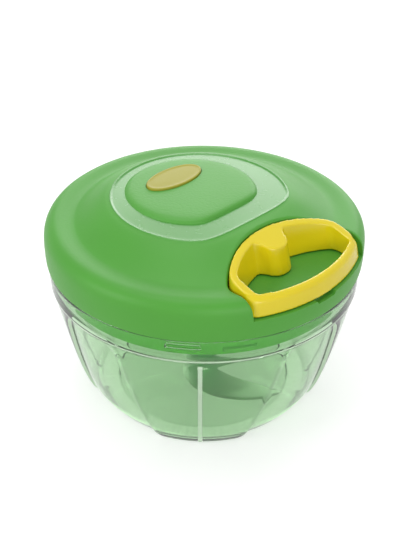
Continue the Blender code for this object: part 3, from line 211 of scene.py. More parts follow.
def prism(name, low_outline, high_outline, low, high):
    return stack(name, [low_outline, high_outline], [low, high])


def turned(name, profile, around=96, closed=False):
    rings = []
    for r, z in profile:
        rings.append([(0.0, 0.0, z)] if r < 1e-7 else
                     [(*polar(r, math.tau * i / around), z) for i in range(around)])
    return skin(name, rings, closed=closed)


def tube(name, path, radius, sides, lay=0, depth=0.0, twist=0.0):
    """A cord along a path, its strands laid round it."""
    rings = []
    side = Vector((0.0, 0.0, 1.0))
    run = 0.0
    for i, point in enumerate(path):
        ahead = (path[min(i + 1, len(path) - 1)] - path[max(i - 1, 0)]).normalized()
        side = (side - ahead * side.dot(ahead)).normalized()
        other = ahead.cross(side)
        if i:
            run += (point - path[i - 1]).length
        ring = []
        for k in range(sides):
            angle = math.tau * k / sides
            r = radius * (1 - depth * (0.5 - 0.5 * math.cos(lay * angle + twist * run)))
            ring.append(point + (side * math.cos(angle) + other * math.sin(angle)) * r)
        rings.append(ring)
    return skin(name, [[path[0]]] + rings + [[path[-1]]])


def put(name, data):
    made = bpy.data.objects.new(name, data)
    bpy.context.scene.collection.objects.link(made)
    return made


def settle(made):
    """Make the object's modifiers part of its mesh."""
    bpy.context.view_layer.update()
    graph = bpy.context.evaluated_depsgraph_get()
    mesh = bpy.data.meshes.new_from_object(made.evaluated_get(graph),
                                           preserve_all_data_layers=True, depsgraph=graph)
    made.modifiers.clear()
    old, made.data = made.data, mesh
    bpy.data.meshes.remove(old)


def combine(made, operation, *others):
    for mesh in others:
        other = put(mesh.name, mesh)
        step = made.modifiers.new("step", "BOOLEAN")
        step.solver = "EXACT"
        step.operation = operation
        step.object = other
        settle(made)
        bpy.data.objects.remove(other)
        bpy.data.meshes.remove(mesh)


def melt(made, voxel, turns):
    """Make one even skin of the body and round all its edges."""
    remesh = made.modifiers.new("one_skin", "REMESH")
    remesh.mode = "VOXEL"
    remesh.voxel_size = voxel
    relax = made.modifiers.new("round", "SMOOTH")
    relax.factor = 0.5
    relax.iterations = turns
    settle(made)


def shade(made, angle=35.0, weighted=False):
    made.data.shade_smooth()
    made.data.set_sharp_from_angle(angle=math.radians(angle))
    if weighted:
        made.modifiers.new("normals", "WEIGHTED_NORMAL").keep_sharp = True
        settle(made)


def dress(made, body, node, slot, *materials):
    """Let the piece stand for a node of the solids. A piece with no body is left unattached."""
    for material in materials:
        made.data.materials.append(material)
    if body:
        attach(made, body)
    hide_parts(node)


def new_material(name):
    material = bpy.data.materials.new(name)
    material.use_nodes = True
    nodes, links = material.node_tree.nodes, material.node_tree.links
    return material, nodes, links, nodes["Principled BSDF"]


def noise(nodes, links, scale, detail=2.0, stretch=None):
    """Noise fixed to the object, drawn out along the axis that stretch leaves short."""
    place = nodes.new("ShaderNodeTexCoord").outputs["Object"]
    if stretch:
        mapping = nodes.new("ShaderNodeMapping")
        mapping.inputs["Scale"].default_value = stretch
        links.new(place, mapping.inputs["Vector"])
        place = mapping.outputs["Vector"]
    pattern = nodes.new("ShaderNodeTexNoise")
    pattern.inputs["Scale"].default_value = scale
    pattern.inputs["Detail"].default_value = detail
    links.new(place, pattern.inputs["Vector"])
    return pattern.outputs["Fac"]


def bumped(nodes, links, shader, height, strength, distance):
    bump = nodes.new("ShaderNodeBump")
    bump.inputs["Strength"].default_value = strength
    bump.inputs["Distance"].default_value = distance
    links.new(height, bump.inputs["Height"])
    links.new(bump.outputs["Normal"], shader.inputs["Normal"])


def two_tone(nodes, links, shader, factor, first, second):
    tone = nodes.new("ShaderNodeMix")
    tone.data_type = "RGBA"
    tone.inputs["A"].default_value = (*first, 1.0)
    tone.inputs["B"].default_value = (*second, 1.0)
    links.new(factor, tone.inputs["Factor"])
    links.new(tone.outputs["Result"], shader.inputs["Base Color"])


def ranged(nodes, links, factor, low, high, target):
    shine = nodes.new("ShaderNodeMapRange")
    shine.inputs["To Min"].default_value = low
    shine.inputs["To Max"].default_value = high
    links.new(factor, shine.inputs["Value"])
    links.new(shine.outputs["Result"], target)


def larger(nodes, links, first, second):
    either = nodes.new("ShaderNodeMath")
    either.operation = "MAXIMUM"
    links.new(first, either.inputs[0])
    links.new(second, either.inputs[1])
    return either.outputs["Value"]


def plastic(name, colour, roughness, grain=0.0, grain_scale=900.0, vary=0.06, coat=0.0, sss=0.0,
            spec=0.5):
    """Moulded plastic: a faint colour drift, and a grain in the surface and its shine."""
    material, nodes, links, shader = new_material(name)
    two_tone(nodes, links, shader, noise(nodes, links, 38.0, 3.0),
             [c * (1 - vary) for c in colour], [min(1.0, c * (1 + vary)) for c in colour])
    fine = noise(nodes, links, grain_scale)
    ranged(nodes, links, fine, roughness - 0.05, roughness + 0.05, shader.inputs["Roughness"])
    if grain:
        bumped(nodes, links, shader, fine, grain, 0.1 * MM)
    shader.inputs["Coat Weight"].default_value = coat
    shader.inputs["Coat Roughness"].default_value = 0.12
    shader.inputs["Specular IOR Level"].default_value = spec
    shader.inputs["Subsurface Weight"].default_value = sss
    shader.inputs["Subsurface Radius"].default_value = (1.0, 0.8, 0.25)
    shader.inputs["Subsurface Scale"].default_value = 2.0 * MM
    return material


def clear(name, colour, depth_colour, density, roughness=0.03, mirror=0.0):
    """Clear tinted plastic, deeper in colour where it is thick, that lets lamps through.

    The mirror share stands for the light that ribs and steps throw back from inside.
    """
    material, nodes, links, shader = new_material(name)
    shader.inputs["Base Color"].default_value = (*colour, 1.0)
    shader.inputs["Roughness"].default_value = roughness
    shader.inputs["IOR"].default_value = 1.45
    shader.inputs["Transmission Weight"].default_value = 1.0
    shader.inputs["Metallic"].default_value = mirror
    bumped(nodes, links, shader, noise(nodes, links, 55.0), 0.08, 0.4 * MM)
    through = nodes.new("ShaderNodeBsdfTransparent")
    through.inputs["Color"].default_value = (*[c ** 0.5 for c in colour], 1.0)
    path = nodes.new("ShaderNodeLightPath")
    trapped = nodes.new("ShaderNodeMath")
    trapped.operation = "GREATER_THAN"
    trapped.inputs[1].default_value = TRAPPED_DEPTH
    links.new(path.outputs["Ray Depth"], trapped.inputs[0])
    mix = nodes.new("ShaderNodeMixShader")
    links.new(larger(nodes, links, path.outputs["Is Shadow Ray"], trapped.outputs["Value"]),
              mix.inputs["Fac"])
    links.new(shader.outputs["BSDF"], mix.inputs[1])
    links.new(through.outputs["BSDF"], mix.inputs[2])
    links.new(mix.outputs["Shader"], nodes["Material Output"].inputs["Surface"])
    depth = nodes.new("ShaderNodeVolumeAbsorption")
    depth.inputs["Color"].default_value = (*depth_colour, 1.0)
    depth.inputs["Density"].default_value = density
    links.new(depth.outputs["Volume"], nodes["Material Output"].inputs["Volume"])
    return material


def metal(name, colour, roughness, stretch=(1.0, 1.0, 1.0), scale=600.0):
    """Metal with fine grinding lines along the axis that stretch leaves short."""
    material, nodes, links, shader = new_material(name)
    shader.inputs["Metallic"].default_value = 1.0
    shader.inputs["Base Color"].default_value = (*colour, 1.0)
    lines = noise(nodes, links, scale, stretch=stretch)
    ranged(nodes, links, lines, roughness - 0.08, roughness + 0.08, shader.inputs["Roughness"])
    bumped(nodes, links, shader, lines, 0.1, 0.05 * MM)
    return material


def braid(name, colour):
    """Braided cord: crossing strands as bump and tone."""
    material, nodes, links, shader = new_material(name)
    place = nodes.new("ShaderNodeTexCoord")
    weave = nodes.new("ShaderNodeTexVoronoi")
    weave.inputs["Scale"].default_value = 1800.0
    links.new(place.outputs["Object"], weave.inputs["Vector"])
    strands = weave.outputs["Distance"]
    two_tone(nodes, links, shader, strands, colour, [c * 0.7 for c in colour])
    shader.inputs["Roughness"].default_value = 0.85
    bumped(nodes, links, shader, strands, 1.0, 0.2 * MM)
    return material


GREEN = (0.073, 0.330, 0.033)
M_LID = plastic("lid_satin", GREEN, 0.48, 0.25, 1100.0, spec=0.4)
M_RING = plastic("lid_ring", (0.060, 0.300, 0.032), 0.26, 0.0, 300.0, coat=0.2)
M_DOME = plastic("lid_grained", GREEN, 0.5, 1.0, 900.0, spec=0.55)
# Painted light: this green is brighter than the plastic's own, to stand for the light that reaches
# the skirt through the bowl
M_BASE_PAINTED_LIGHT = plastic("base_green", (0.11, 0.50, 0.03), 0.35, 0.05)
M_HANDLE = plastic("handle_yellow", (0.78, 0.63, 0.008), 0.22, 0.04, vary=0.03, sss=0.15)
M_BADGE = plastic("badge_yellow", (0.37, 0.345, 0.035), 0.40, 0.12, vary=0.03, spec=0.25)
M_BOWL = clear("bowl_clear", (0.78, 0.91, 0.75), (0.16, 0.44, 0.14), 122.0)
# Painted highlight: ribs, window steps and the ledge get a brighter, part-mirror copy of the clear
# plastic
M_EDGE_HIGHLIGHT = clear("bowl_edge_painted_highlight", (0.74, 0.95, 0.70), (0.18, 0.42, 0.16), 118.0, 0.12, 0.6)
M_STEM = plastic("stem_green", (0.06, 0.33, 0.08), 0.35, 0.05)
M_SILICONE = plastic("seal_silicone", (0.62, 0.70, 0.62), 0.55, 0.05)
M_WHITE = plastic("reel_white", (0.78, 0.78, 0.76), 0.45, 0.05)
M_GREY = plastic("acetal_grey", (0.42, 0.43, 0.44), 0.4, 0.05)
M_BLADE = metal("blade_steel", (0.80, 0.86, 0.80), 0.38, (1.0, 0.15, 1.0))
M_PIN = metal("pin_steel", (0.62, 0.63, 0.64), 0.2, (1.0, 1.0, 0.05))
M_SPRING = metal("spring_steel", (0.34, 0.35, 0.38), 0.3, (1.0, 1.0, 0.05))
M_SCREW = metal("screw_zinc", (0.52, 0.53, 0.54), 0.3)
M_BRASS = metal("bush_brass", (0.70, 0.50, 0.20), 0.26, (1.0, 1.0, 0.1))
M_CORD = braid("cord_white", (0.80, 0.80, 0.76))


def wall_radius(z):
    share = max(0.0, min(1.0, z / WALL_H))
    return FOOT_R + (WALL_TOP_R - FOOT_R) * share ** WALL_BULGE


def window_half(z):
    """Half the window's width across at a height."""
    if z <= WINDOW_SHOULDER_Z:
        return WINDOW_HALF_W + WINDOW_FLARE * (1 - z / WINDOW_SHOULDER_Z)
    return WINDOW_HALF_W - WINDOW_R + math.sqrt(max(0.0, WINDOW_R ** 2
                                                    - (z - WINDOW_SHOULDER_Z) ** 2))


def wall_columns(z):
    """Angle and depth shares of the wall's columns round one quarter, from one rib's middle."""
    r = wall_radius(z)
    edge = math.asin(window_half(z) / r)
    step = WINDOW_STEP / r
    rib = RIB_W / r / 2
    quarter = math.pi / 4
    columns = [(0.0, 0.0, 1.0), (rib * 0.55, 0.0, 1.0), (rib * 0.85, 0.0, 0.75),
               (rib * 1.15, 0.0, 0.0)]
    start, stop = rib * 1.15, quarter - edge - step
    columns += [(start + (stop - start) * i / 9, 0.0, 0.0) for i in range(1, 9)]
    columns += [(stop + step * i / 6, ease(i / 6), 0.0) for i in range(7)]
    start = quarter - edge
    columns += [(start + edge * i / 9, 1.0, 0.0) for i in range(1, 9)]
    back = [(math.pi / 2 - a, d, b) for a, d, b in reversed(columns[1:])]
    return columns + [(quarter, 1.0, 0.0)] + back


def wall_ring(z, inset=0.0):
    """The outside at a height: windows set in, deepest at the foot, and ribs standing proud."""
    deep = (WINDOW_DEPTH + WINDOW_FOOT_DEPTH * ease(1 - z / WINDOW_FOOT_H)) * ease(
        (WINDOW_STOP_Z - z) / WINDOW_STOP_ROUND)
    rib_share = ease((RIB_TOP_Z - z) / RIB_RUN_OUT)
    r = wall_radius(z) - inset
    ring = []
    for quarter in range(4):
        for angle, depth, rib in wall_columns(min(z, WINDOW_STOP_Z)):
            here = r - deep * depth + RIB_PROUD * rib * rib_share
            ring.append((*polar(here, PANEL_ANGLE + quarter * math.pi / 2 + angle), z))
    return ring


def lug_columns(angles, first_middle):
    """Columns near the given ones, drawn in at each lug's ends, and which of them carry a lug."""
    columns = [[a, 0.0] for a in angles]
    count, near = len(angles), LUG_SPAN / 2
    for quarter in range(4):
        middle = first_middle + quarter * math.pi / 2
        low, high = [min(range(count), key=lambda k: abs(math.remainder(angles[k] - middle - end,
                                                                        math.tau)))
                     for end in (-near, near)]
        high += count if high < low else 0
        for k in range(low + 1, high + 1):
            columns[k % count][1] = 1.0
        for k, place in ((low, -1.03), (low + 1, -0.97), (high, 0.97), (high + 1, 1.03)):
            columns[k % count][0] = middle + near * place
    return columns


def bowl_mesh():
    """The bowl as one grid: outside with its windows and ribs, rim, lugs, inside and floor."""
    outer_angles = [PANEL_ANGLE + quarter * math.pi / 2 + column[0]
                    for quarter in range(4) for column in wall_columns(0.0)]
    inner = lug_columns(outer_angles, BOWL_LUG_ANGLE)

    def outside(r, z):
        return [(*polar(r, a), z) for a in outer_angles]

    def inside(r, z, lug_r=None):
        return [(*polar(lug_r if lug and lug_r else r, a), z) for a, lug in inner]

    rings = [[(0.0, 0.0, LEDGE)], outside(10 * MM, LEDGE), outside(25 * MM, LEDGE),
             outside(FOOT_RING_R - LEDGE - 0.2 * MM, LEDGE),
             outside(FOOT_RING_R - LEDGE, LEDGE - 0.1 * MM),
             outside(FOOT_RING_R - 0.1 * MM, 0.1 * MM), outside(FOOT_RING_R + 0.2 * MM, 0.0),
             wall_ring(0.0, 1.2 * MM), wall_ring(0.09 * MM, 0.7 * MM),
             wall_ring(0.4 * MM, 0.28 * MM)]
    heights = [0.9, 1.7, 3.0, 4.5, 6.0, 8.5, 11.5, 15.0, 18.5, 22.0, 25.5,
               29.0, 32.5, 36.0, 39.0, 42.0, 44.5, 46.5, 48.3, 49.8, 50.8, 51.5, 52.0, 52.4, 52.9,
               53.3, 53.6, 53.8, 54.0, 54.2, 54.4, 54.7]
    rings += [wall_ring(h * MM) for h in heights]
    rings += [outside(BAND_R - 0.42 * MM, WALL_H + 0.1 * MM),
              outside(BAND_R - 0.12 * MM, WALL_H + 0.45 * MM),
              outside(BAND_R, WALL_H + LEDGE + 0.3 * MM), outside(BAND_R, 60.0 * MM),
              outside(BAND_R, RIM_Z - 0.8 * MM), outside(BAND_R - 0.12 * MM, RIM_Z - 0.35 * MM),
              outside(BAND_R - 0.5 * MM, RIM_Z - 0.06 * MM), outside(BAND_R - 0.8 * MM, RIM_Z),
              inside(RIM_IN_R + 0.4 * MM, RIM_Z), inside(RIM_IN_R + 0.1 * MM, RIM_Z - 0.1 * MM),
              inside(RIM_IN_R, RIM_Z - 0.4 * MM)]
    top, low = BOWL_LUG_Z + LUG_H, BOWL_LUG_Z
    lug_r = SKIRT_R + LUG_PLAY
    rings += [inside(RIM_IN_R, top + 0.05 * MM), inside(RIM_IN_R, top, lug_r + 0.25 * MM),
              inside(RIM_IN_R, top - 0.25 * MM, lug_r), inside(RIM_IN_R, low + 0.25 * MM, lug_r),
              inside(RIM_IN_R, low, lug_r + 0.25 * MM), inside(RIM_IN_R, low - 0.05 * MM),
              inside(RIM_IN_R, WALL_H + LEDGE),
              inside(wall_radius(WALL_H) - WALL_T, WALL_H - 0.2 * MM)]
    fillet_z = FLOOR_Z + FLOOR_FILLET
    rings += [inside(wall_radius(h * MM) - WALL_T, h * MM)
              for h in (51.0, 47.0, 43.0, 38.5, 34.0, 29.5, 25.0, 21.0, 17.0, 13.5, 10.5)]
    fillet_r = wall_radius(fillet_z) - WALL_T
    rings += [inside(r, z) for r, z in arc((fillet_r - FLOOR_FILLET, fillet_z), FLOOR_FILLET, 0.0,
                                           -math.pi / 2, 8)]
    rings += [inside(34 * MM, FLOOR_Z), inside(20 * MM, FLOOR_Z)]
    rings += [inside(r, z) for r, z in arc((BOSS_R + BOSS_FILLET, FLOOR_Z + BOSS_FILLET),
                                           BOSS_FILLET, -math.pi / 2, -math.pi, 4)]
    rings += [inside(BOSS_R, BOSS_Z - 0.4 * MM), inside(BOSS_R - 0.12 * MM, BOSS_Z - 0.1 * MM),
              inside(BOSS_R - 0.4 * MM, BOSS_Z), inside(PIN_SEAT_R + 0.2 * MM, BOSS_Z),
              inside(PIN_SEAT_R, BOSS_Z - 0.2 * MM),
              inside(PIN_SEAT_R, BOSS_Z - PIN_SEAT_DEPTH),
              [(0.0, 0.0, BOSS_Z - PIN_SEAT_DEPTH)]]
    return skin("bowl_wall", rings)


def on_edge(place, normal):
    """True on the outside's ribs, window steps and the ledge under the band, where the painted
    highlight goes.
    """
    r, z = math.hypot(place.x, place.y), place.z
    if place.x * normal.x + place.y * normal.y < 0.08 * r or z < 1.0 * MM:
        return False
    if WALL_H <= z:
        return z < WALL_H + 0.9 * MM
    off = abs(math.remainder(math.atan2(place.y, place.x) - PANEL_ANGLE, math.pi / 2))
    window = math.asin(window_half(min(z, WINDOW_STOP_Z)) / wall_radius(z))
    step = WINDOW_STEP / r
    if off < RIB_W / r / 2 * 1.15:
        return z < RIB_TOP_Z
    return math.pi / 4 - window - step < off < math.pi / 4 - window and z < WINDOW_STOP_Z


AROUND = [math.tau * i / 240 for i in range(240)]


def flat_cut(angle, radius, back, flat):
    """Polar radius of a circle set back from the axis, with a soft-cornered flat."""
    off = angle - PULL_ANGLE
    circle = -back * math.cos(off) + math.sqrt(radius ** 2 - (back * math.sin(off)) ** 2)
    if math.cos(off) < 0.05:
        return circle
    line = flat / math.cos(off)
    return (circle ** -FLAT_CORNER + line ** -FLAT_CORNER) ** (-1.0 / FLAT_CORNER)


def lid_ring(radius_at, z):
    return [(*polar(radius_at(a), a), z) for a in AROUND]


def lid_surface(inset, down, slopes=18):
    """The lid's outside from the plateau's edge to the rim, or a surface inside it."""
    rings = []
    drop = RING_Z - VALLEY_Z
    for i in range(slopes):
        s = 0.03 + 0.97 * i / slopes
        t = i / slopes
        fall = 0.5 * (ease(t) + t ** 1.2)
        rings.append(lid_ring(lambda a, s=s: flat_cut(a, *PLATEAU) * (1 - s) + VALLEY_R * s
                              - inset, RING_Z - fall * drop - down))
    rows = ((VALLEY_R, VALLEY_Z + 0.05 * MM, 0.5, 1.0), (54.9 * MM, 81.2 * MM, 0.5, 1.0),
            (56.6 * MM, 81.35 * MM, 0.5, 1.0), (58.4 * MM, 81.58 * MM, 0.5, 1.0),
            (60.0 * MM, 81.66 * MM, 0.5, 1.0), (61.3 * MM, 81.46 * MM, 0.7, 0.95),
            (62.4 * MM, 80.98 * MM, 0.85, 0.85), (63.4 * MM, 80.22 * MM, 1.0, 0.7),
            (64.2 * MM, 79.25 * MM, 1.0, 0.6), (64.75 * MM, 78.2 * MM, 1.0, 0.5),
            (65.1 * MM, 77.0 * MM, 1.0, 0.2), (65.3 * MM, 75.4 * MM, 1.0, 0.0),
            (65.4 * MM, 72.5 * MM, 1.0, 0.0), (65.34 * MM, 69.0 * MM, 1.0, 0.0),
            (65.15 * MM, 66.4 * MM, 1.0, 0.0), (65.0 * MM, 65.6 * MM, 1.0, 0.0),
            (64.7 * MM, LID_EDGE_Z, 1.0, 0.0))
    for r, z, in_share, down_share in rows:
        rings.append(lid_ring(lambda a, r=r, k=in_share: r - inset * k, z - down * down_share))
    return rings


def nose_half(nose, arc_r, side_y, corner_r, steps):
    """From the side round the corner and along the nose's arc to the middle."""
    reach, height = arc_r - corner_r, side_y - corner_r
    along = -math.sqrt(reach ** 2 - height ** 2)
    angle = math.atan2(height, along)
    return (arc((nose + arc_r + along, height), corner_r, math.pi / 2, angle, steps)
            + arc((nose + arc_r, 0.0), arc_r, angle, math.pi, 2 * steps)[1:])


def mirrored(half):
    return half + [(x, -y) for x, y in reversed(half) if y > 1e-6]


def loop_outline(bar, half, nose, bar_corner, nose_corner, steps=9):
    reach, height = bar - bar_corner, half - bar_corner
    along = math.sqrt(reach ** 2 - height ** 2)
    angle = math.atan2(height, along)
    return mirrored(arc((0.0, 0.0), bar, 0.0, angle, 2 * steps)
                    + arc((along, height), bar_corner, angle, math.pi / 2, steps)[1:]
                    + nose_half(nose, ARC_R, half, nose_corner, steps))


def pocket_outline(grow):
    half = HALF_W + grow
    side = [((69.0 - 0.5 * i) * MM, half) for i in range(43)]
    return mirrored(side + nose_half(NOSE - grow, ARC_R + grow, half, POCKET_CORNER_R + grow, 12))


def pocket_cutter(shell):
    """The handle's pocket, its upper edge rounded over along the lid's surface."""
    tree = BVHTree.FromObject(shell, bpy.context.evaluated_depsgraph_get())

    def above(x, y):
        place = PULL @ Vector((x, y, 0.0))
        hit = tree.ray_cast(Vector((place.x, place.y, 0.12)), Vector((0.0, 0.0, -1.0)))[0]
        return max(hit.z if hit else RECESS_Z, RECESS_Z + POCKET_ROUND + 0.3 * MM)

    outlines, levels = [pocket_outline(POCKET_GAP)], [None]
    for i in range(6):
        turn = math.pi / 2 * i / 5
        outlines.append(pocket_outline(POCKET_GAP + POCKET_ROUND * (1 - math.cos(turn))))
        levels.append(POCKET_ROUND * (1 - math.sin(turn)))
    outlines.append(pocket_outline(POCKET_GAP + POCKET_ROUND + 0.3 * MM))
    levels.append(-0.25 * MM)
    points = []
    for outline, level in zip(outlines, levels):
        points += [(x, y, RECESS_Z if level is None else above(x, y) - level)
                   for x, y in outline]
    points += [(x, y, DOME_Z + DOME_RISE) for x, y in outlines[-1]]
    return walls("recess", points, len(outlines[-1]))


def handle_outer(rise):
    """The loop's outside at a height, where the bar is rounded over at its top."""
    over = max(0.0, min(rise, BAR_H) - BAR_H + BAR_ROUND)
    bar = BAR_R - BAR_LEAN * min(rise, BAR_H) - (BAR_ROUND - math.sqrt(BAR_ROUND ** 2
                                                                      - 0.98 * over ** 2))
    return loop_outline(bar, HALF_W - ARM_LEAN * rise, NOSE, 5 * MM, 8 * MM)


def handle_inner(rise):
    return loop_outline(BAR_R - BAR_T, HALF_W - LOOP_T, NOSE + NOSE_T - NOSE_LEAN * rise,
                        2 * MM, 5 * MM)


def boss_outline(rise):
    shift = NOSE_LEAN * rise
    x, y = NOSE + BOSS_REACH - shift - BOSS_CORNER_R, BOSS_W / 2 - BOSS_CORNER_R
    fillet_x = NOSE + NOSE_T - shift + BOSS_SIDE_FILLET
    across = fillet_x - x
    fillet_y = y + math.sqrt((BOSS_CORNER_R + BOSS_SIDE_FILLET) ** 2 - across ** 2)
    angle = math.atan2(fillet_y - y, across)
    return mirrored([(x + BOSS_CORNER_R, 0.0)] + arc((x, y), BOSS_CORNER_R, 0.0, angle, 10)
                    + arc((fillet_x, fillet_y), BOSS_SIDE_FILLET, angle - math.pi, -math.pi, 9)[1:]
                    + [(NOSE + BOSS_FOOT, y)])


def upright(name, outline_at, *rises):
    return stack(name, [outline_at(rise) for rise in rises], [HANDLE_Z + rise for rise in rises])


def drum(name, radius, low, high, place=(0.0, 0.0), around=48):
    mesh = turned(name, [(0.0, low), (radius, low), (radius, high), (0.0, high)], around)
    mesh.transform(Matrix.Translation((*place, 0.0)))
    return mesh


def rod(name, radius, start, end, around=24):
    """A round bar along the pull at the cord's height."""
    mesh = drum(name, radius, start, end, around=around)
    mesh.transform(Matrix.Translation((0.0, 0.0, CORD_Z)) @ Matrix.Rotation(math.pi / 2, 4, "Y"))
    return mesh


def pulled(mesh):
    mesh.transform(PULL)
    return mesh


def oval_outline(grow, steps=72):
    points = [PULL @ Vector((-OVAL_BACK + (OVAL_HALF_W + grow) * math.cos(math.tau * i / steps),
                             (OVAL_HALF_L + grow) * math.sin(math.tau * i / steps), 0.0))
              for i in range(steps)]
    return [(p.x, p.y) for p in points]


def screw_places():
    return [polar(SCREW_CIRCLE_R, PULL_ANGLE + math.pi / 3 + math.tau * i / 3) for i in range(3)]


def notch_outline(share):
    """The finger notch in the recess's floor, with its share of the lean of its three sides."""
    near, half = NOTCH_IN - NOTCH_LEAN_IN * share, NOTCH_HALF_W + NOTCH_LEAN_SIDE * share
    return [(near, -half), (NOTCH_OUT, -half), (NOTCH_OUT, half), (near, half)]


def make_lid():
    dome_rings = []
    crown = [(0.0, 1.0), (0.45, 0.96), (0.8, 0.86), (0.94, 0.62), (1.0, 0.0)]
    for s, rise in smooth(crown, 5)[1:]:
        dome_rings.append(lid_ring(lambda a, s=s: flat_cut(a, *DOME) * s,
                                   RING_Z + DOME_RISE * rise))
    crest = [lid_ring(lambda a, k=inset: flat_cut(a, *PLATEAU) - k * MM, RING_Z + rise * MM)
             for inset, rise in ((3.0, 0.0), (1.3, 0.0), (1.0, 0.04), (0.7, 0.18), (0.45, 0.33),
                                 (0.2, 0.4), (0.0, 0.35), (-0.2, 0.2))]
    inside = lid_surface(LID_T, LID_T, 6)[::-1]
    rings = ([[(0.0, 0.0, DOME_Z)]] + dome_rings + crest + lid_surface(0.0, 0.0) + inside
             + [[(0.0, 0.0, CEILING_Z)]])
    dome_count = 1 + len(dome_rings)
    bands = [2] * (dome_count - 1) + [1] * 8 + [0] * len(rings)
    shell = put("lid_top", skin("lid_top", rings, bands))
    for material in (M_LID, M_RING, M_DOME):
        shell.data.materials.append(material)
    block = put("block", pulled(prism("block", pocket_outline(PLAY + POCKET_WALL),
                                      pocket_outline(PLAY + POCKET_WALL),
                                      RECESS_Z - 2 * MM, DOME_Z)))
    space = skin("space", [[(0.0, 0.0, CEILING_Z + LID_T / 2)]]
                 + lid_surface(LID_T / 2, LID_T / 2) + [[(0.0, 0.0, LID_EDGE_Z)]])
    combine(block, "INTERSECT", space)
    bosses = [drum("axle_boss", AXLE_BOSS_R, 82.6 * MM, 88.3 * MM)]
    bosses += [drum("screw_boss", SCREW_BOSS_R, 68.7 * MM, 80.2 * MM, place)
               for place in screw_places()]
    combine(shell, "UNION", block.data.copy(), *bosses)
    bpy.data.objects.remove(block)
    notch = prism("notch", notch_outline(0.0), notch_outline(1.0),
                  RECESS_Z - 1.4 * MM, RECESS_Z + 0.6 * MM)
    combine(shell, "DIFFERENCE",
            pulled(pocket_cutter(shell)), pulled(notch),
            pulled(rod("guide_seat", GUIDE_SEAT_R, GUIDE_SEAT_START, NOSE)),
            drum("axle_bore", AXLE_BORE_R, 82.3 * MM, 86.9 * MM),
            prism("oval_seat", oval_outline(SEAT), oval_outline(SEAT), OVAL_LOW_Z - SEAT,
                  DOME_Z + DOME_RISE))
    shade(shell, 32.0, weighted=True)
    dress(shell, "lid", "lid_shell", "lid_green")


def make_badge():
    profile = ((3.0, 0.0), (0.35, 0.0), (0.0, 0.35), (0.0, 1.1), (0.1, 1.4), (0.35, 1.57),
               (0.7, 1.6), (1.0, 1.52), (1.3, 1.45), (2.5, 1.48), (4.5, 1.52))
    centre = PULL @ Vector((-OVAL_BACK, 0.0, 0.0))
    rings = [[(centre.x, centre.y, OVAL_LOW_Z)]]
    for inset, rise in profile:
        rings.append([(x, y, OVAL_LOW_Z + rise * MM) for x, y in oval_outline(-inset * MM)])
    rings.append([(centre.x, centre.y, OVAL_LOW_Z + 1.5 * MM)])
    badge = put("oval_badge", skin("oval_badge", rings))
    shade(badge)
    dress(badge, "lid", "oval_insert", "pale_yellow", M_BADGE)


def make_base():
    """Plate and skirt with its four lugs, as one grid."""
    columns = lug_columns(AROUND, BOWL_LUG_ANGLE + LOCK_TURN)

    def ring(r, z, lug_r=None):
        return [(*polar(lug_r if lug and lug_r else r, a), z) for a, lug in columns]

    low, high = LID_LUG_Z, LID_LUG_Z + LUG_H
    lug_r = RIM_IN_R - LUG_PLAY
    edge = 0.3 * MM
    rings = [ring(BASE_HOLE_R, BASE_TOP_Z), ring(BASE_R - edge, BASE_TOP_Z),
             ring(BASE_R, BASE_TOP_Z - edge), ring(BASE_R, BASE_Z + edge),
             ring(BASE_R - edge, BASE_Z), ring(SKIRT_R + 2 * edge, BASE_Z),
             ring(SKIRT_R, BASE_Z - 2 * edge), ring(SKIRT_R, high + 0.05 * MM),
             ring(SKIRT_R, high, lug_r - 0.2 * MM), ring(SKIRT_R, high - 0.2 * MM, lug_r),
             ring(SKIRT_R, low + 0.2 * MM, lug_r), ring(SKIRT_R, low, lug_r - 0.2 * MM),
             ring(SKIRT_R, low - 0.05 * MM), ring(SKIRT_R, SKIRT_LOW_Z + edge),
             ring(SKIRT_R - edge, SKIRT_LOW_Z), ring(SKIRT_IN_R + edge, SKIRT_LOW_Z),
             ring(SKIRT_IN_R, SKIRT_LOW_Z + edge), ring(SKIRT_IN_R, BASE_Z - edge),
             ring(SKIRT_IN_R - edge, BASE_Z), ring(40 * MM, BASE_Z),
             ring(39.4 * MM, BASE_Z + 0.5 * MM), ring(24 * MM, BASE_Z + 0.5 * MM),
             ring(23.4 * MM, BASE_Z), ring(BASE_HOLE_R, BASE_Z)]
    base = put("lid_plate", skin("lid_plate", rings, closed=True))
    combine(base, "DIFFERENCE", *[drum("screw_hole", SCREW_HOLE_R, BASE_Z - MM, BASE_TOP_Z + MM,
                                       place, 24) for place in screw_places()])
    shade(base, 40.0)
    dress(base, "lid", "lid_base", "base_green", M_BASE_PAINTED_LIGHT)


def make_bowl():
    mesh = bowl_mesh()
    for material in (M_BOWL, M_EDGE_HIGHLIGHT):
        mesh.materials.append(material)
    # Faces on the ribs, window steps and ledge take the painted-highlight material
    for face in mesh.polygons:
        face.material_index = int(on_edge(face.center, face.normal))
    bowl = put("bowl_clear", mesh)
    shade(bowl, 50.0)
    dress(bowl, "bowl", "bowl", "clear_green")


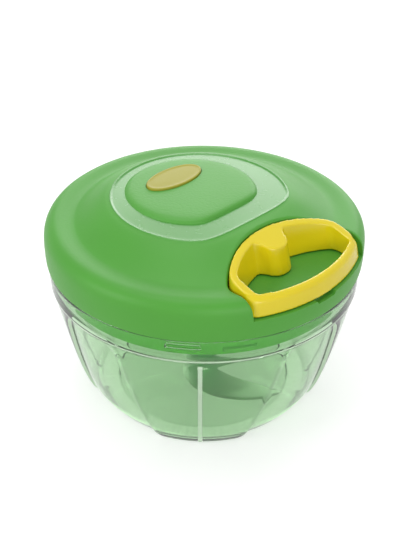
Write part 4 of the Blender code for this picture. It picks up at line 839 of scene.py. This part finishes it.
def make_handle():
    rounding = [BAR_H - BAR_ROUND * (1 - math.sin(math.pi / 2 * i / 5)) for i in range(6)]
    handle = put("pull_loop", upright("pull_loop", handle_outer, 0.0, *rounding,
                                      NOSE_H + 4 * MM))
    combine(handle, "DIFFERENCE", upright("opening", handle_inner, -4 * MM, NOSE_H + 6 * MM))
    combine(handle, "UNION", upright("boss", boss_outline, 0.0, NOSE_H + 3 * MM))
    top, level = HANDLE_Z + NOSE_H, HANDLE_Z + BAR_H
    above, end = top + 8 * MM, BAR_R - BAR_LEVEL_W
    line = [(NOSE - 6 * MM, top), (NOSE + BOSS_FOOT, top)]
    line += [tuple(p) for p in smooth([(end - 5 * MM, level + 1.29 * MM),
                                       (end - 1.6 * MM, level + 0.45 * MM),
                                       (end + 1.8 * MM, level + 0.03 * MM),
                                       (end + 4 * MM, level)], 3)]
    line += [(LID_MAX_R + 2 * MM, level), (LID_MAX_R + 2 * MM, above), (NOSE - 6 * MM, above)]
    lower = prism("above_slope", line, line, -LID_MAX_R, LID_MAX_R)
    lower.transform(Matrix.Rotation(math.pi / 2, 4, "X"))
    combine(handle, "DIFFERENCE", lower)
    melt(handle, 0.4 * MM, 6)
    combine(handle, "DIFFERENCE",
            drum("knot_pocket", KNOT_R + KNOT_PLAY, HANDLE_Z - SEAT, CORD_Z + KNOT_R + KNOT_PLAY,
                 (KNOT_POCKET_X, 0.0)),
            rod("cord_bore", CORD_BORE_R, NOSE - 4 * MM, KNOT_POCKET_X))
    handle.data.transform(PULL)
    shade(handle, 50.0)
    dress(handle, "handle", "handle", "handle_yellow", M_HANDLE)


def cord_piece(name, path):
    cord = put(name, pulled(tube(name, path, CORD_R, 20, CORD_STRANDS, STRAND_DEPTH,
                                 STRAND_TWIST)))
    shade(cord, 80.0)
    return cord


def make_cord():
    """The wound cord, and the lead that is drawn out by the handle as far as its knot."""
    mouth = Vector((GUIDE_FLANGE - 2 * CORD_R, 0.0, CORD_Z))
    start = -math.acos(WIND_R / mouth.x)
    count = round(CORD_TURNS * 72)
    turns = []
    for i in range(count + 1):
        turn = CORD_TURNS * i / count
        turns.append(Vector((*polar(WIND_R, start - math.tau * turn),
                             CORD_Z - CORD_PITCH * turn)))
    lead_in = turns[0] + (turns[0] - turns[1]).normalized() * 2 * CORD_R
    lead_out = turns[-1] + (turns[-1] - turns[-2]).normalized() * 2 * CORD_R
    dress(cord_piece("wound_cord", [lead_in] + turns + [lead_out]), "reel", "cord_winding",
          "cord_white", M_CORD)
    path = smooth([lead_in, lead_in.lerp(mouth, 0.7),
                   Vector((GUIDE_FLANGE + CORD_R, 0.0, CORD_Z)), Vector((NOSE, 0.0, CORD_Z)),
                   Vector((KNOT_PLACE - 1.6 * MM, 0.0, CORD_Z))], 14)
    lead = cord_piece("cord_lead", path)
    dress(lead, None, "pull_cord", "cord_white", M_CORD)
    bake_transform(lead)


def make_knot():
    """An overhand knot, its own route tied in a trefoil."""
    path, steps, sides, size, thick = [], 90, 12, 0.52, 0.72
    for i in range(steps):
        t = math.tau * i / steps
        path.append(Vector((math.sin(t) + 2 * math.sin(2 * t), math.cos(t) - 2 * math.cos(2 * t),
                            -1.35 * math.sin(3 * t))) * size * MM)
    rings = []
    for i, point in enumerate(path):
        ahead = (path[(i + 1) % steps] - path[i - 1]).normalized()
        side = ahead.cross(point.normalized()).normalized()
        other = ahead.cross(side)
        rings.append([point + (side * math.cos(math.tau * k / sides)
                               + other * math.sin(math.tau * k / sides)) * thick * MM
                      for k in range(sides)])
    knot = put("cord_end_knot", skin("cord_end_knot", rings, closed=True))
    melt(knot, 0.14 * MM, 1)
    knot.data.transform(PULL @ Matrix.Translation((KNOT_PLACE, 0.0, CORD_Z)))
    shade(knot, 80.0)
    dress(knot, "handle", "cord_knot", "cord_white", M_CORD)


def make_blade(name, node, z, tip_angle):
    """A swept blade, ground thin along its cutting edge, with the ring that holds it."""
    root, steps = BLADE_RING_R - 0.5 * MM, 44
    up, fine = Vector((0.0, 0.0, BLADE_HALF_T)), Vector((0.0, 0.0, 0.05 * MM))
    rings = []
    for i in range(steps):
        t = i / steps
        r = root + (BLADE_REACH - root) * t
        edge = Vector((*polar(r, tip_angle - BLADE_SWEEP * (1 - t)), z))
        back = Vector((*polar(r, tip_angle - BLADE_BACK_SWEEP * (1 - t) ** 2), z))
        ground = edge.lerp(back, min(0.45, BLADE_GRIND_W / (back - edge).length))
        rings.append([edge + fine, ground + up, back + up, back - up, ground - up, edge - fine])
    middle = [sum(rings[0], Vector()) / 6]
    point = [Vector((*polar(BLADE_REACH - 0.2 * MM, tip_angle), z))]
    blade = put(name, skin(name, [middle] + rings + [point]))
    top, low = z + BLADE_HALF_T, z - BLADE_HALF_T
    combine(blade, "UNION", turned("blade_ring", [(BLADE_BORE_R, top), (BLADE_RING_R, top),
                                                  (BLADE_RING_R, low), (BLADE_BORE_R, low)],
                                   72, closed=True))
    combine(blade, "DIFFERENCE", drum("blade_bore", BLADE_BORE_R, z - MM, z + MM, around=72))
    shade(blade, 12.0)
    dress(blade, "blades", node, "blade_steel", M_BLADE)


def sector(inner, outer, middle, span):
    return (arc((0.0, 0.0), outer, middle - span / 2, middle + span / 2, 10)
            + arc((0.0, 0.0), inner, middle + span / 2, middle - span / 2, 10))


def make_stem():
    """The stem, with a groove for each blade's ring and three dogs on its top."""
    edge, groove, chamfer, lip = 0.4 * MM, 0.7 * MM, 0.95 * MM, 0.25 * MM
    profile = [(0.0, STEM_TOP_Z), (NECK_R - edge, STEM_TOP_Z), (NECK_R, STEM_TOP_Z - edge),
               (NECK_R, 41.1 * MM), (NECK_R + lip, 40.55 * MM), (STEM_R - 0.35 * MM, 39.0 * MM),
               (STEM_R, 38.5 * MM)]
    for z in reversed(BLADE_LEVELS):
        profile += [(STEM_R, z + chamfer), (STEM_R - lip, z + groove), (CORE_R, z + groove),
                    (CORE_R, z - groove), (STEM_R - lip, z - groove), (STEM_R, z - chamfer)]
    profile += [(STEM_R, 7.0 * MM), (STEM_R - 0.6 * MM, STEM_LOW_Z), (BUSH_SEAT_R, STEM_LOW_Z),
                (BUSH_SEAT_R, BUSH_SEAT_TOP_Z), (PIN_BORE_R, BUSH_SEAT_TOP_Z),
                (PIN_BORE_R, PIN_BORE_TOP_Z), (0.0, PIN_BORE_TOP_Z)]
    stem = put("stem", turned("stem", profile, 96))
    outlines = [sector(DOG_IN_R, DOG_OUT_R, math.tau * i / 3, DOG_SPAN) for i in range(3)]
    combine(stem, "UNION", *[prism("dog", outline, outline, STEM_TOP_Z - DOG_H,
                                   STEM_TOP_Z - 0.02 * MM) for outline in outlines])
    shade(stem, 30.0)
    dress(stem, "blades", "blade_stem", "stem_green", M_STEM)


make_bowl()
make_lid()
make_badge()
make_base()
make_handle()
make_cord()
make_knot()
for level, name in enumerate(("blade_lower", "blade_middle", "blade_upper")):
    make_blade("swept_" + name, name, BLADE_LEVELS[level], BLADE_ANGLE + math.tau * level / 3)
make_stem()

CARRIED = {
    "bowl_pin": M_PIN, "lid_seal": M_SILICONE, "base_screw_1": M_SCREW, "base_screw_2": M_SCREW,
    "base_screw_3": M_SCREW, "output_bush": M_BRASS, "cord_guide": M_BRASS, "reel_axle": M_PIN,
    "spring_arbor": M_GREY, "recoil_spring": M_SPRING, "reel": M_WHITE, "spring_cover": M_GREY,
    "drive_coupler": M_GREY, "coupler_screw": M_SCREW, "pivot_bush": M_BRASS,
}
for node, material in CARRIED.items():
    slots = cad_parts[node].data.materials
    slots.clear()
    slots.append(material)


def look_at(place, target, roll=0.0):
    turn = (Vector(target) - Vector(place)).to_track_quat("-Z", "Y").to_matrix().to_4x4()
    return Matrix.Translation(place) @ turn @ Matrix.Rotation(roll, 4, "Z")


def area_lamp(name, place, target, size, power):
    data = bpy.data.lights.new(name, "AREA")
    data.shape = "RECTANGLE"
    data.size, data.size_y = size
    data.energy = power
    put(name, data).matrix_world = look_at(place, target)


def background_rays(nodes, links):
    """One for rays that show the background: straight, mirrored and seen through."""
    path = nodes.new("ShaderNodeLightPath")
    seen = path.outputs["Is Camera Ray"]
    for name in ("Is Glossy Ray", "Is Transmission Ray"):
        seen = larger(nodes, links, seen, path.outputs[name])
    return seen


def make_stage():
    """A floor that holds the object's shadow and glows white towards its far edge."""
    mesh = bpy.data.meshes.new("floor")
    work = bmesh.new()
    bmesh.ops.create_grid(work, x_segments=1, y_segments=1, size=FLOOR_SIZE)
    work.to_mesh(mesh)
    work.free()
    material, nodes, links, shader = new_material("floor_white")
    shader.inputs["Base Color"].default_value = (FLOOR_GREY, FLOOR_GREY, FLOOR_GREY, 1.0)
    shader.inputs["Roughness"].default_value = 0.8
    shader.inputs["Specular IOR Level"].default_value = 0.0
    shade_seen = nodes.new("ShaderNodeBsdfDiffuse")
    shade_seen.inputs["Color"].default_value = (*[FLOOR_SEEN_GREY] * 3, 1.0)
    glow = nodes.new("ShaderNodeEmission")
    place = nodes.new("ShaderNodeTexCoord")
    length = nodes.new("ShaderNodeVectorMath")
    length.operation = "LENGTH"
    links.new(place.outputs["Object"], length.inputs[0])
    far = nodes.new("ShaderNodeMapRange")
    far.interpolation_type = "SMOOTHSTEP"
    for socket, value in (("From Min", FLOOR_GLOW_START), ("From Max", FLOOR_GLOW_END),
                          ("To Min", FLOOR_GLOW_NEAR), ("To Max", 1.0)):
        far.inputs[socket].default_value = value
    links.new(length.outputs["Value"], far.inputs["Value"])
    links.new(far.outputs["Result"], glow.inputs["Strength"])
    both = nodes.new("ShaderNodeAddShader")
    links.new(shade_seen.outputs["BSDF"], both.inputs[0])
    links.new(glow.outputs["Emission"], both.inputs[1])
    choice = nodes.new("ShaderNodeMixShader")
    links.new(background_rays(nodes, links), choice.inputs["Fac"])
    links.new(shader.outputs["BSDF"], choice.inputs[1])
    links.new(both.outputs["Shader"], choice.inputs[2])
    links.new(choice.outputs["Shader"], nodes["Material Output"].inputs["Surface"])
    mesh.materials.append(material)
    put("floor", mesh)


def make_world():
    """A plain light all round, which rays that show the background see as white."""
    world = bpy.data.worlds.new("studio")
    world.use_nodes = True
    bpy.context.scene.world = world
    nodes, links = world.node_tree.nodes, world.node_tree.links
    sky = nodes["Background"]
    sky.inputs["Color"].default_value = (1.0, 1.0, 1.0, 1.0)
    ranged(nodes, links, background_rays(nodes, links), WORLD_LIGHT, 1.0, sky.inputs["Strength"])


def make_camera():
    target = Vector(CAMERA_TARGET)
    away = Vector((0.0, -math.cos(CAMERA_RISE), math.sin(CAMERA_RISE)))
    data = bpy.data.cameras.new("photo_camera")
    data.sensor_fit = "VERTICAL"
    data.sensor_height = SENSOR_H
    data.lens = FOCAL_LENGTH * SENSOR_H / PHOTO_H
    data.clip_start = 0.02
    data.clip_end = 20.0
    camera = put("photo_camera", data)
    camera.matrix_world = look_at(target + CAMERA_REACH * away, target, CAMERA_ROLL)
    bpy.context.scene.camera = camera


make_stage()
make_world()
make_camera()
for name, lamp in LAMPS.items():
    area_lamp(name, *lamp)
bpy.context.scene.view_settings.view_transform = "Standard"
